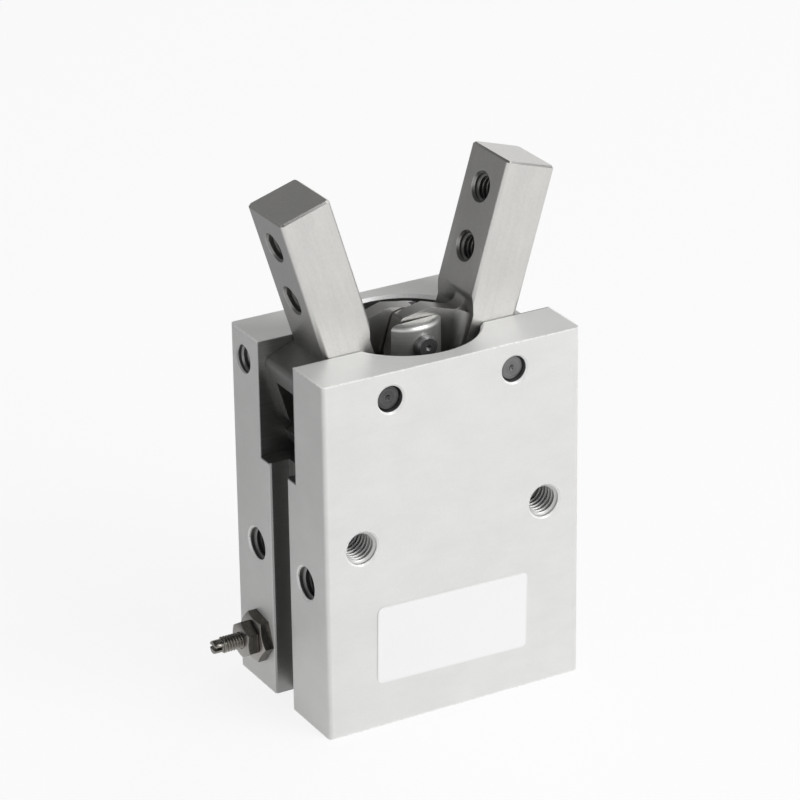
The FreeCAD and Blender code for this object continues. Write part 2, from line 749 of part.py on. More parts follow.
def make_piston_rings():
    """The piston's lip seal and its bonded magnet ring."""
    radius = "(bore_radius - piston_clearance)"
    seal_bottom = f"{PISTON_TOP} - {PISTON_LAND} - {SEAL_ROOM} + seal_end_gap"
    make_lip_seal("piston_seal", f"({radius} - seal_groove_depth + seal_end_gap)",
                  "(bore_radius - seal_clearance)", f"({SEAL_ROOM} - 2 * seal_end_gap)",
                  seal_bottom)
    magnet = turned("magnet", rectangle(
        f"{radius} - magnet_groove_depth + magnet_gap", f"{radius} - magnet_gap",
        "magnet_gap", f"{MAGNET_ROOM} - magnet_gap"))
    place(magnet, up=f"{PISTON_BOTTOM} + {PISTON_LAND}")


def make_stops():
    """Rubber stops under the rod cover and on the end cap."""
    upper = turned("upper_bumper", rectangle(
        "rod_radius + upper_stop_gap", "bore_radius - upper_stop_inset", "0", "upper_stop_height"))
    place(upper, up=f"{COVER_SEAT} - upper_stop_height")
    lower = turned("lower_bumper", rectangle(
        "lower_stop_hole", "bore_radius - lower_stop_inset", "0", "lower_stop_height"))
    place(lower, up=CAP_SEAT)


def cord_groove(room, height):
    """Lower and upper corners of the O-ring groove half-way up a round cover."""
    outer = f"{room} - cover_clearance"
    floor = f"{room} - 2 * (cord_radius + cord_squeeze)"
    low = f"({height} - cord_groove_width) / 2"
    high = f"({height} + cord_groove_width) / 2"
    return [(outer, low), (floor, low), (floor, high), (outer, high)]


def make_cord(label, radius, cord, **where):
    """O-ring whose cord circles its own Z axis."""
    piece = list_piece(doc.addObject("Part::Torus", label), label)
    bind(piece, "Radius1", radius)
    bind(piece, "Radius2", cord)
    place(piece, **where)


def make_rod_cover():
    """Cover that guides the rod, with the rod seal and the O-ring around it."""
    outer = f"{COVER_ROOM} - cover_clearance"
    bore = "rod_radius + running_clearance"
    seal_floor = "(rod_radius + rod_seal_depth)"
    seal_top = "cover_height - rod_seal_inset"
    seal_bottom = f"{seal_top} - rod_seal_width"
    cover = turned("rod_cover", [
        (bore, "0"),
        (f"{outer} - cover_edge", "0"),
        (outer, "cover_edge"),
        *cord_groove(COVER_ROOM, "cover_height"),
        (outer, "cover_height"),
        (bore, "cover_height"),
        (bore, seal_top),
        (seal_floor, seal_top),
        (seal_floor, seal_bottom),
        (bore, seal_bottom),
    ])
    place(cover, up=COVER_SEAT)
    make_lip_seal("rod_seal", "(rod_radius + seal_clearance)", f"({seal_floor} - seal_end_gap)",
                  "(rod_seal_width - 2 * seal_end_gap)",
                  f"{COVER_SEAT} + {seal_bottom} + seal_end_gap")
    make_cord("rod_cover_gasket", f"{COVER_ROOM} - cord_radius - cord_squeeze", "cord_radius",
              up=f"{COVER_SEAT} + cover_height / 2")


def make_end_cap():
    """Round cap that closes the cylinder, with a shallow dish outside and an O-ring."""
    outer = f"{CAP_ROOM} - cover_clearance"
    cap = turned("end_cap", [
        ("0", "cap_dish_depth"),
        ("cap_dish_radius", "cap_dish_depth"),
        ("cap_dish_radius", "0"),
        (outer, "0"),
        *cord_groove(CAP_ROOM, "cap_height"),
        (outer, "cap_height - cover_edge"),
        (f"{outer} - cover_edge", "cap_height"),
        ("0", "cap_height"),
    ])
    place(cap, up="cap_recess")
    make_cord("end_cap_gasket", f"{CAP_ROOM} - cord_radius - cord_squeeze", "cord_radius",
              up="cap_recess + cap_height / 2")


def make_clip(label, room, up):
    """Open spring ring that sits in a groove of the bore."""
    outer = f"{room} + clip_groove_depth - clip_clearance"
    clip = turned(label, rectangle(
        f"{outer} - clip_ring_width", outer, "0", "clip_groove_width - 2 * clip_clearance"),
        "360 - clip_gap_angle")
    place(clip, up=up, turn="rotation(vector(0; 0; 1); clip_turn_angle)")


def hexagon(body, flats, height, shift="0"):
    """Hexagonal block from a level upwards, whose outer corners are cut back by a cone."""
    radius = f"({flats} / 2 / cos(30deg))"
    corners = [(f"{radius} * cos({60 * step}deg)", f"{radius} * sin({60 * step}deg)")
               for step in range(6)]
    pad(body, polygon(body, "XY_Plane", corners, shift), height)
    top = f"({shift} + {height})"
    turn_away(body, [
        (f"{radius} - 2 * hex_corner_cut", top),
        (f"{radius} + hex_corner_cut", top),
        (f"{radius} + hex_corner_cut", f"{top} - 1.5 * hex_corner_cut"),
    ])


def adjuster_turn(roll):
    """Direction of the adjuster's pieces, rolled about their own axis."""
    return f"{ALONG_LEFT} * rotation(vector(0; 0; 1); {roll})"


def place_on_side(piece, outwards="0", roll="0"):
    """Puts a piece on the adjuster's axis at the body's left face."""
    place(piece, across=f"-{SIDE} - ({outwards})", depth=ADJUSTER_DEPTH, up="adjuster_height",
          turn=adjuster_turn(roll))


def make_guide():
    """Hexagonal guide that screws into the body, with the chamber for the needle's collar."""
    guide = new_body("needle_guide")
    hexagon(guide, "guide_flats", "guide_head_height")
    shank = circle(guide, "XY_Plane", "0", "0", "guide_shank_radius")
    pad(guide, shank, "guide_shank_length", flipped=True)
    bore = circle(guide, "XY_Plane", "0", "0", "needle_radius + guide_clearance")
    pocket(guide, bore, THROUGH, both_ways=True)
    chamber = circle(guide, "XY_Plane", "0", "0", "guide_chamber_radius",
                     "guide_chamber_length - guide_shank_length")
    pocket(guide, chamber, BEYOND)
    place_on_side(guide, roll="guide_turn_angle")
    make_cord("guide_gasket", "guide_shank_radius + guide_cord_radius + cord_squeeze / 2",
              "guide_cord_radius - cord_squeeze / 2", across=f"guide_cord_radius - {SIDE}",
              depth=ADJUSTER_DEPTH, up="adjuster_height", turn=ALONG_LEFT)


def make_lock_nut():
    """Thin hexagon nut that locks the needle."""
    nut = new_body("lock_nut")
    hexagon(nut, "nut_flats", "nut_height")
    bore = circle(nut, "XY_Plane", "0", "0", "needle_radius + guide_clearance")
    pocket(nut, bore, THROUGH, both_ways=True)
    place_on_side(nut, "guide_head_height + nut_gap", "nut_turn_angle")


def make_needle():
    """Adjusting screw: slotted tip, threaded shank, sealed collar and tapered needle."""
    collar = "(guide_chamber_radius - needle_collar_clearance)"
    groove = f"({collar} - 2 * needle_cord_radius)"
    inner = "(guide_clearance - guide_shank_length)"
    outer = f"({inner} + needle_collar_length)"
    low = f"({inner} + {outer} - needle_groove_width) / 2"
    high = f"({inner} + {outer} + needle_groove_width) / 2"
    end = "(needle_length + needle_tip_length)"
    needle = turned("needle", [
        ("0", "-guide_pocket_depth - needle_point_length"),
        ("needle_point_radius", "-guide_pocket_depth - needle_point_length"),
        ("needle_cone_radius", "-guide_pocket_depth"),
        ("needle_neck_radius", "guide_chamber_length / 2 - guide_pocket_depth"),
        ("needle_neck_radius", inner),
        (collar, inner),
        (collar, low),
        (groove, low),
        (groove, high),
        (collar, high),
        (collar, outer),
        ("needle_radius", outer),
        ("needle_radius", "needle_length - needle_edge"),
        ("needle_radius - needle_edge", "needle_length"),
        ("needle_tip_radius", "needle_length"),
        ("needle_tip_radius", f"{end} - needle_edge"),
        ("needle_tip_radius - needle_edge", end),
        ("0", end),
    ])
    slot = rectangle("-needle_slot_width / 2", "needle_slot_width / 2",
                     f"{end} - needle_slot_depth", BEYOND)
    pocket(needle, polygon(needle, "YZ_Plane", slot), THROUGH, both_ways=True)
    place_on_side(needle)
    make_cord("needle_o_ring", f"{collar} - needle_cord_radius", "needle_cord_radius",
              across=f"-{SIDE} - ({inner} + {outer}) / 2", depth=ADJUSTER_DEPTH,
              up="adjuster_height", turn=ALONG_LEFT)


def make_label():
    """Blank label with rounded corners, flat on the front face."""
    label = new_body("label")
    outline = rectangle("-label_width / 2", "label_width / 2", "-label_height / 2",
                        "label_height / 2")
    pad(label, polygon(label, "XZ_Plane", outline), "label_thickness")
    fillet(label, "label_corner_radius", lambda edge: runs_along(edge, "y"))
    place(label, "-label_centre_across", f"-{BACK}", "label_centre_height",
          "rotation(vector(0; 1; 0); label_tilt)")


def make_plug_balls():
    """Two steel balls that close the ends of the drilled channels."""
    balls = []
    sunk = "plug_ball_recess + plug_ball_radius"
    for name, depth, up in (
            ("riser_ball", CHANNEL_DEPTH, sunk),
            ("link_ball", f"{BACK} - ({sunk})", "adjuster_height")):
        ball = doc.addObject("Part::Sphere", name)
        bind(ball, "Radius", "plug_ball_radius - seat_clearance")
        place(ball, CHANNEL_ACROSS, depth, up)
        balls.append(ball)
    pair = list_piece(doc.addObject("Part::Fuse", "passage_balls"), "passage_balls")
    pair.Base, pair.Tool = balls


def make_all():
    """Builds every piece, from the body to the label."""
    make_body()
    make_finger("right_finger", False)
    make_finger("left_finger", True)
    shaft_half = f"({BACK} - shaft_recess)"
    make_pin("right_shaft", "shaft_radius", shaft_half, HALF_SPACING, PIVOT_HEIGHT)
    make_pin("left_shaft", "shaft_radius", shaft_half, f"-{HALF_SPACING}", PIVOT_HEIGHT)
    make_joint_rod()
    pin_half = "(head_radius + joint_pin_overhang)"
    make_pin("joint_pin", "joint_pin_radius", pin_half, "0", PIN_HEIGHT, f"{ASKEW} * {ALONG_Y}")
    make_piston()
    make_piston_rings()
    make_stops()
    make_rod_cover()
    make_end_cap()
    make_clip("rod_cover_ring", COVER_ROOM, COVER_TOP)
    make_clip("end_cap_ring", CAP_ROOM, "cap_recess - clip_groove_width + 2 * clip_clearance")
    make_guide()
    make_lock_nut()
    make_needle()
    make_plug_balls()
    make_label()
    doc.recompute()


def check_model():
    """Stops if an object failed or a piece has no sound solid."""
    for item in doc.Objects:
        if "Invalid" in item.State or "Error" in item.State:
            raise RuntimeError(f"{item.Label} failed: {item.State}")
    for piece in PIECES:
        if piece.Shape.isNull() or not piece.Shape.isValid() or not piece.Shape.Solids:
            raise RuntimeError(f"{piece.Label} has no sound solid")


def write_pieces():
    """Writes each piece to its own file and prints its volume."""
    os.makedirs("parts", exist_ok=True)
    for piece in PIECES:
        piece.Shape.exportStep(f"parts/{piece.Label}.step")
        print(f"{piece.Label:18s} {len(piece.Shape.Solids)} solid, {piece.Shape.Volume:9.2f} mm3")


make_all()
check_model()
write_pieces()
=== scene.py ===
"""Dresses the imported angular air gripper: finishes, threads, softened edges, studio and camera.

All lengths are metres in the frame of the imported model. Its origin is the centre of the body's
bottom face, X runs along the wide front face, which looks towards -Y, and Z is up.
"""
import logging
import math
from collections.abc import Mapping, Sequence
from dataclasses import dataclass, replace
from enum import Enum
from typing import Any

import bmesh
import bpy
import numpy as np
from mathutils import Matrix, Vector


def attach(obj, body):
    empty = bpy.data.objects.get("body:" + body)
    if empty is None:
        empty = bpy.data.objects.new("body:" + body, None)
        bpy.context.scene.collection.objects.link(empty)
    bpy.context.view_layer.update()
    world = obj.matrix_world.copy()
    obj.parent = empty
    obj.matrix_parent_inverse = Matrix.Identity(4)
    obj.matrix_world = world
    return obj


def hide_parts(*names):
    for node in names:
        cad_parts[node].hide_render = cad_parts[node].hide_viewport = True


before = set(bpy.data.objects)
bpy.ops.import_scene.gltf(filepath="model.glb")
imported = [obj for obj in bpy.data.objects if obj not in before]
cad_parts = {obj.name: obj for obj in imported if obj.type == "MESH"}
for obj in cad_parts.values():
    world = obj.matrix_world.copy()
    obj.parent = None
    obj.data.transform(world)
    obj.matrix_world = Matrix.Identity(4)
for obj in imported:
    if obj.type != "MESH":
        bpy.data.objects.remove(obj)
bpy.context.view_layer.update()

LOG = logging.getLogger("gripper")

Pair = tuple[float, float]
Triple = tuple[float, float, float]

MM = 0.001
FRONT_FACE = 13.8 * MM
SIDE_FACE = 21.0 * MM
LEVER_PIVOT: Pair = (10.1 * MM, 51.2 * MM)
BLACK_RUBBER: tuple[Triple, Triple] = ((0.016, 0.016, 0.017), (0.045, 0.045, 0.045))


def scaled(colour: Triple, share: float) -> Triple:
    """Colour times a number."""
    return tuple(share * value for value in colour)


class Rider(Enum):
    """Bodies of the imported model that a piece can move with."""

    HOUSING = "housing"
    LEFT_LEVER = "left_lever"
    RIGHT_LEVER = "right_lever"
    NEEDLE = "adjusting_needle"
    NUT = "locking_nut"


class Axis(Enum):
    """Directions that turned pieces and patterns run along."""

    X = 0
    Y = 1
    Z = 2


class Wire:
    """Output of a node, with arithmetic on numbers that adds Math nodes."""

    def __init__(self, graph: "Graph", port: bpy.types.NodeSocket) -> None:
        """Keeps the graph that the output belongs to."""
        self.graph = graph
        self.port = port

    def maths(self, operation: str, *terms: "Wire | float") -> "Wire":
        """Adds one Math node.

        Args:
            operation: name of the Math node's operation.
            terms: its operands, in order.

        Returns:
            The result as a wire.
        """
        node = self.graph.node("ShaderNodeMath", {"operation": operation}, dict(enumerate(terms)))
        return Wire(self.graph, node.outputs[0])

    def __add__(self, other: "Wire | float") -> "Wire":
        """Sum."""
        return self.maths("ADD", self, other)

    def __radd__(self, other: "Wire | float") -> "Wire":
        """Sum with a number on the left."""
        return self.maths("ADD", other, self)

    def __sub__(self, other: "Wire | float") -> "Wire":
        """Difference."""
        return self.maths("SUBTRACT", self, other)

    def __rsub__(self, other: "Wire | float") -> "Wire":
        """Difference from a number on the left."""
        return self.maths("SUBTRACT", other, self)

    def __mul__(self, other: "Wire | float") -> "Wire":
        """Product."""
        return self.maths("MULTIPLY", self, other)

    def __rmul__(self, other: "Wire | float") -> "Wire":
        """Product with a number on the left."""
        return self.maths("MULTIPLY", other, self)

    def __abs__(self) -> "Wire":
        """Size without sign."""
        return self.maths("ABSOLUTE", self)

    def root(self) -> "Wire":
        """Square root."""
        return self.maths("SQRT", self)

    def at_most(self, other: "Wire | float") -> "Wire":
        """Smaller of the two."""
        return self.maths("MINIMUM", self, other)

    def at_least(self, other: "Wire | float") -> "Wire":
        """Larger of the two."""
        return self.maths("MAXIMUM", self, other)

    def rises(self, low: float, high: float) -> "Wire":
        """Smooth step.

        Args:
            low: value up to which the result is 0.
            high: value from which it is 1.

        Returns:
            A mask from 0 to 1.
        """
        node = self.graph.node("ShaderNodeMapRange", {"interpolation_type": "SMOOTHSTEP"},
                               {"Value": self, "From Min": low, "From Max": high})
        return Wire(self.graph, node.outputs[0])

    def falls(self, low: float, high: float) -> "Wire":
        """One minus the smooth step between two values."""
        return 1 - self.rises(low, high)

    def within(self, limit: float, blur: float) -> "Wire":
        """Mask of what is below a limit, faded out over a blur above it."""
        return self.falls(limit, limit + blur)


class Graph:
    """Node tree of one material or of the world."""

    def __init__(self, tree: bpy.types.NodeTree) -> None:
        """Empties the tree."""
        self.tree = tree
        tree.nodes.clear()

    def node(self, kind: str, settings: Mapping[str, Any] | None = None,
             inputs: Mapping[int | str, Any] | None = None) -> bpy.types.Node:
        """Adds any node.

        Args:
            kind: the node's type.
            settings: its properties, set first. "stops" are a ramp's places and colours.
            inputs: values or wires for its sockets, by name or number.

        Returns:
            The node.
        """
        made = self.tree.nodes.new(kind)
        for name, value in (settings or {}).items():
            if name == "stops":
                self._set_stops(made.color_ramp, value)
            else:
                setattr(made, name, value)
        for key, value in (inputs or {}).items():
            if isinstance(value, Wire):
                self.tree.links.new(value.port, made.inputs[key])
            else:
                made.inputs[key].default_value = value
        return made

    @staticmethod
    def _set_stops(ramp: bpy.types.ColorRamp, stops: Sequence[tuple[float, Triple]]) -> None:
        """Gives a ramp its stops.

        Args:
            ramp: the node's ramp, which starts with two stops.
            stops: place and colour of each stop, from left to right.
        """
        while len(ramp.elements) < len(stops):
            ramp.elements.new(1.0)
        for element, (place, colour) in zip(ramp.elements, stops):
            element.position = place
            element.color = (*colour, 1.0)

    def place(self, centre: Triple = (0, 0, 0), turn: Triple = (0, 0, 0),
              stretch: Triple = (1, 1, 1)) -> Wire:
        """Object coordinates seen from a turned and stretched frame.

        Args:
            centre: the frame's origin.
            turn: its Euler angles in radians.
            stretch: how much longer a pattern gets along each of its axes.

        Returns:
            A vector wire.
        """
        source = self.node("ShaderNodeTexCoord")
        mapping = self.node("ShaderNodeMapping", {"vector_type": "TEXTURE"}, {
            "Vector": Wire(self, source.outputs["Object"]),
            "Location": centre, "Rotation": turn, "Scale": stretch})
        return Wire(self, mapping.outputs[0])

    def parts(self, vector: Wire) -> tuple[Wire, Wire, Wire]:
        """Three components of a vector."""
        node = self.node("ShaderNodeSeparateXYZ", None, {0: vector})
        return tuple(Wire(self, port) for port in node.outputs)

    def join(self, *values: Wire | float) -> Wire:
        """Vector of three numbers."""
        return Wire(self, self.node("ShaderNodeCombineXYZ", None, dict(enumerate(values))).outputs[0])

    def noise(self, where: Wire, size: float, detail: float = 2.0, rough: float = 0.55) -> Wire:
        """Noise from 0 to 1.

        Args:
            where: the vector that it is read at.
            size: length of one of its spots.
            detail: octaves added to it.
            rough: strength of those octaves.

        Returns:
            A number wire.
        """
        node = self.node("ShaderNodeTexNoise", {"noise_dimensions": "3D"}, {
            "Vector": where, "Scale": 1 / size, "Detail": detail, "Roughness": rough})
        return Wire(self, node.outputs[0])

    def cells(self, where: Wire, size: float) -> Wire:
        """Distance from the nearest of scattered points, in cell widths."""
        node = self.node("ShaderNodeTexVoronoi", {"feature": "F1"},
                         {"Vector": where, "Scale": 1 / size})
        return Wire(self, node.outputs["Distance"])

    def blend(self, share: Wire | float, first: Wire | Triple, second: Wire | Triple) -> Wire:
        """Mixes two colours.

        Args:
            share: 0 gives the first colour and 1 the second.
            first: a colour or a colour wire.
            second: a colour or a colour wire.

        Returns:
            A colour wire.
        """
        ends = [end if isinstance(end, Wire) else (*end, 1.0) for end in (first, second)]
        node = self.node("ShaderNodeMix", {"data_type": "RGBA"}, {0: share, 6: ends[0], 7: ends[1]})
        return Wire(self, node.outputs[2])

    def bump(self, height: Wire, depth: float, strength: float = 1.0,
             over: Wire | None = None) -> Wire:
        """Normal tilted by a height.

        Args:
            height: number wire, whose 1 stands as high as depth.
            depth: metres.
            strength: share of the effect.
            over: a normal that this one is laid over.

        Returns:
            A normal wire.
        """
        inputs = {"Strength": strength, "Distance": depth, "Height": height}
        if over is not None:
            inputs["Normal"] = over
        return Wire(self, self.node("ShaderNodeBump", None, inputs).outputs[0])

    def turned(self, axis: Axis, centre: Triple) -> tuple[Wire, Wire]:
        """Distances from and along an axis.

        The first is the root of the sum of the squares of the two coordinates across the axis,
        and the second is the coordinate along it.

        Args:
            axis: the axis's direction.
            centre: a point that it passes through.

        Returns:
            Two number wires.
        """
        coordinates = list(self.parts(self.place(centre)))
        along = coordinates.pop(axis.value)
        first, second = coordinates
        return (first * first + second * second).root(), along

    def surface(self, values: Mapping[str, Any]) -> None:
        """Ends the tree in a Principled shader with those values or wires."""
        shader = self.node("ShaderNodeBsdfPrincipled", None, values)
        self.node("ShaderNodeOutputMaterial", None, {"Surface": Wire(self, shader.outputs[0])})


@dataclass(frozen=True)
class Finish:
    """What a surface looks like, without its details."""

    name: str
    dark: Triple
    light: Triple
    roughness: float
    metallic: float

    def material(self) -> bpy.types.Material:
        """Makes the finish a material.

        Returns:
            The new material.
        """
        material = bpy.data.materials.new(self.name)
        material.use_nodes = True
        graph = Graph(material.node_tree)
        graph.surface({"Metallic": self.metallic, **self.details(graph)})
        return material

    def details(self, graph: Graph) -> dict[str, Any]:
        """Values for the shader's sockets.

        Args:
            graph: the material's tree.

        Returns:
            Values and wires by socket.
        """
        raise NotImplementedError(self.name)


@dataclass(frozen=True)
class Hole:
    """Round hole whose wall the aluminium darkens with painted shade: axis, middle of its mouth, radius
    and share of that shade.
    """

    axis: Axis
    mouth: Triple
    radius: float
    shade_share: float = 1.0


@dataclass(frozen=True)
class BlastedAluminium(Finish):
    """Bead-blasted clear anodised block, with painted shade in its milled recesses and a painted highlight
    on its outer edges.
    """

    holes: tuple[Hole, ...] = ()
    half: Triple = (SIDE_FACE, FRONT_FACE, 27.7 * MM)
    grain: float = 0.16 * MM
    cloud: float = 7.0 * MM
    smear: float = 1.6 * MM
    ring: float = 0.11 * MM
    line: float = 0.13 * MM
    highlight_break: float = 0.6 * MM
    relief: float = 0.006 * MM
    edge: float = 0.35 * MM
    blur: float = 0.05 * MM
    slot_half: float = 5.3 * MM
    slot_floor: float = 37.2 * MM
    bore: float = 10.95 * MM
    mouth: float = 11.4 * MM
    mouth_low: float = 54.93 * MM
    mouth_high: float = 55.38 * MM
    groove_half: float = 2.75 * MM
    groove_floor: float = 17.7 * MM
    hole_depth: float = 9.0 * MM
    hole_chamfer: float = 0.3 * MM
    hole_rim: float = 0.55 * MM
    recess_shade: float = 0.4
    painted_highlight: Triple = (0.92, 0.92, 0.91)

    def rims(self, graph: Graph) -> tuple[Wire | float, Wire | float]:
        """Masks of the holes' walls and of their chamfered mouths.

        A hole's wall lies within its radius and deeper than its chamfer, and the mouth is the
        rest of what lies within a little more than its radius. The wall's mask, which carries
        painted shade, is as strong as the hole's share of that shade.

        Args:
            graph: the material's tree.

        Returns:
            The mask of the shaded walls and that of the highlighted mouths, both 0 where there are no
            holes.
        """
        walls: Wire | float = 0.0
        mouths: Wire | float = 0.0
        for hole in self.holes:
            away, along = graph.turned(hole.axis, hole.mouth)
            wall = away.within(hole.radius, 0.04 * MM)
            deep = abs(along).within(self.hole_depth, 0.1 * MM)
            skin = abs(along).within(self.hole_chamfer, 0.1 * MM)
            off_face = abs(along).rises(0.02 * MM, 0.04 * MM)
            # Hole walls: mask for the painted shade, scaled by each hole's share of it.
            walls = (wall * deep * (1 - skin) * hole.shade_share).at_least(walls)
            # Chamfered mouths: mask for a painted highlight.
            rim = away.within(hole.radius + self.hole_rim, self.blur)
            mouths = (rim * skin * off_face).at_least(mouths)
        return walls, mouths

    def details(self, graph: Graph) -> dict[str, Any]:
        """Grain and clouds everywhere, cutter lines in the slot and the bore, painted shade on
        the milled walls, and painted highlights on the outer edges and turned mouths.

        Args:
            graph: the material's tree.

        Returns:
            Values and wires by socket.
        """
        where = graph.place()
        across, depth, up = graph.parts(where)
        grain = graph.noise(where, self.grain, 3.0, 0.65)
        cloud = graph.noise(where, self.cloud, 3.0, 0.5)
        smear = graph.noise(graph.place(stretch=(3, 3, 1)), self.smear, 3.0, 0.6)
        tone = (grain * 0.45 + cloud * 0.35 + smear * 0.2).rises(0.25, 0.75)
        radius = (across * across + depth * depth).root()
        above_floor = up.rises(self.slot_floor - self.blur, self.slot_floor)
        in_slot = abs(depth).within(self.slot_half, self.blur) * above_floor
        in_bore = radius.within(self.bore, self.blur) * up.within(self.mouth_low, 0.02 * MM)
        outside = abs(across).rises(self.groove_floor - self.blur, self.groove_floor)
        in_groove = abs(depth).within(self.groove_half, self.blur) * outside
        walls, mouths = self.rims(graph)
        # Slot, bore, groove and hole walls: real cutter marks and bare metal, and painted shade that
        # darkens their colour.
        milled_and_shaded = in_slot.at_least(in_bore).at_least(in_groove).at_least(walls)
        # Turned mouths of the bore and the holes: lightened as a painted highlight.
        bore_mouth = (radius.within(self.mouth, self.blur) * (1 - in_bore)
                      * up.rises(self.mouth_low, self.mouth_low + 0.02 * MM)
                      * up.within(self.mouth_high, 0.01 * MM))
        turned = bore_mouth.at_least(mouths)
        rings = graph.noise(graph.join(radius, up, 0), self.ring, 2.0)
        lines = graph.noise(graph.place(stretch=(30, 1, 1)), self.line, 2.0)
        cutter = rings * in_bore + lines * (1 - in_bore)
        # Outer edges: lightened as a painted highlight, broken up by noise.
        sides = [abs(value).rises(half - self.edge, half)
                 for value, half in zip((across, depth, up - self.half[2]), self.half)]
        edge = sides[0] * sides[1] + sides[1] * sides[2] + sides[0] * sides[2]
        edge_highlight = edge.at_most(1.0) * graph.noise(where, self.highlight_break).rises(0.3, 0.6)
        plain = graph.blend(tone, self.dark, self.light)
        # Colour of the milled walls, darkened as painted shade.
        cut = graph.blend(cutter, scaled(self.dark, 0.8 * self.recess_shade),
                          scaled(self.light, 1.2 * self.recess_shade))
        colour = graph.blend(milled_and_shaded, plain, cut)
        height = grain * (1 - milled_and_shaded) + cutter * milled_and_shaded
        return {
            "Base Color": graph.blend((edge_highlight * 0.8).at_least(turned), colour, self.painted_highlight),
            "Roughness": (self.roughness + 0.12 * (grain - 0.5) - 0.16 * milled_and_shaded - 0.12 * edge_highlight
                          - 0.24 * turned),
            "Metallic": self.metallic + (0.95 - self.metallic) * milled_and_shaded - 0.25 * turned,
            "Normal": graph.bump(height, self.relief),
        }


@dataclass(frozen=True)
class GroundSteel(Finish):
    """Steel lever, ground lengthwise, in the lever's own tilted frame."""

    pivot: Triple = (0.0, 0.0, 0.0)
    tilt: float = 0.0
    root: Pair = (0.5 * MM, 13.0 * MM)
    side: Pair = (4.98 * MM, 5.02 * MM)
    root_shade: float = 0.45
    hole_heights: Pair = (22.55 * MM, 13.598 * MM)
    hole: float = 2.3 * MM
    line: float = 0.17 * MM
    band: float = 0.9 * MM
    cloud: float = 5.0 * MM
    mottle: float = 0.5 * MM
    scratch: float = 0.12 * MM
    relief: float = 0.0016 * MM

    def details(self, graph: Graph) -> dict[str, Any]:
        """Grinding lines along the finger, faint clouds, crossing scratches, and painted shade on the root
        and in the holes.

        Args:
            graph: the material's tree.

        Returns:
            Values and wires by socket.
        """
        turn = (0.0, self.tilt, 0.0)
        lengthwise = graph.place(self.pivot, turn)
        _, depth, up = graph.parts(lengthwise)
        # 1 on the ground faces; 0 on the root in the slot and inside the thread holes, which get painted
        # shade.
        ground = up.rises(*self.root).at_least(abs(depth).rises(*self.side))
        for height in self.hole_heights:
            away = (depth * depth + (up - height) * (up - height)).root()
            ground = ground * away.rises(self.hole, self.hole + 0.04 * MM)
        lines = graph.noise(graph.place(self.pivot, turn, (1, 1, 26)), self.line, 3.0, 0.6)
        coarse = graph.noise(graph.place(self.pivot, turn, (1, 1, 14)), self.band, 2.0)
        cloud = graph.noise(lengthwise, self.cloud, 3.0)
        crossing = (0.4, self.tilt + 0.9, 0.3)
        scratch = graph.noise(graph.place(self.pivot, crossing, (1, 1, 60)), self.scratch)
        scratches = scratch.rises(0.7, 0.78) * cloud.rises(0.45, 0.6)
        mottle = graph.noise(lengthwise, self.mottle, 3.0)
        tone = (lines * 0.3 + coarse * 0.15 + cloud * 0.25 + mottle * 0.3).rises(0.3, 0.7)
        # Root and hole colour, darkened as painted shade.
        shaded_root = graph.blend(tone, scaled(self.dark, self.root_shade), scaled(self.light, self.root_shade))
        return {
            "Base Color": graph.blend(ground, shaded_root, graph.blend(tone, self.dark, self.light)),
            "Roughness": self.roughness + 0.12 * (lines - 0.5) + 0.05 * cloud + 0.08 * scratches,
            "Normal": graph.bump(lines - 0.5 * scratches, self.relief),
        }


@dataclass(frozen=True)
class TurnedMetal(Finish):
    """Metal turned on a lathe, with rings around its axis."""

    axis: Axis = Axis.Z
    centre: Triple = (0.0, 0.0, 0.0)
    ring: float = 0.09 * MM
    depth: float = 0.003 * MM
    patina: float = 0.0
    cloud: float = 1.8 * MM
    speck: float = 0.12 * MM

    def details(self, graph: Graph) -> dict[str, Any]:
        """Rings read noise at the distances from and along the axis, under faint clouds.

        Args:
            graph: the material's tree.

        Returns:
            Values and wires by socket.
        """
        radius, along = graph.turned(self.axis, self.centre)
        rings = graph.noise(graph.join(radius, along, 0), self.ring, 2.0)
        where = graph.place()
        cloud = graph.noise(where, self.cloud, 4.0, 0.6)
        specks = graph.noise(where, self.speck, 2.0)
        tone = (rings * 0.6 + cloud * 0.4).rises(0.25, 0.75)
        colour = graph.blend(tone, self.dark, self.light)
        stain = cloud.rises(0.48, 0.62) * self.patina
        return {
            "Base Color": graph.blend(stain, colour, scaled(self.dark, 0.55)),
            "Roughness": self.roughness + 0.14 * (rings - 0.5) + 0.08 * (specks - 0.5) + 0.2 * stain,
            "Normal": graph.bump(rings, self.depth),
        }


@dataclass(frozen=True)
class PlatedHexagon(TurnedMetal):
    """Dark plated hexagon with a painted sheen on its end and chamfer."""

    painted_sheen: Triple = (0.36, 0.345, 0.325)

    def details(self, graph: Graph) -> dict[str, Any]:
        """Turned metal, lighter where the object's normal points along the axis: a painted sheen.

        Args:
            graph: the material's tree.

        Returns:
            Values and wires by socket.
        """
        made = super().details(graph)
        source = graph.node("ShaderNodeTexCoord")
        facing = abs(graph.parts(Wire(graph, source.outputs["Normal"]))[self.axis.value])
        # Faces that look along the axis: a painted sheen.
        axis_sheen = facing.rises(0.25, 0.75)
        made["Base Color"] = graph.blend(axis_sheen, made["Base Color"], self.painted_sheen)
        return made


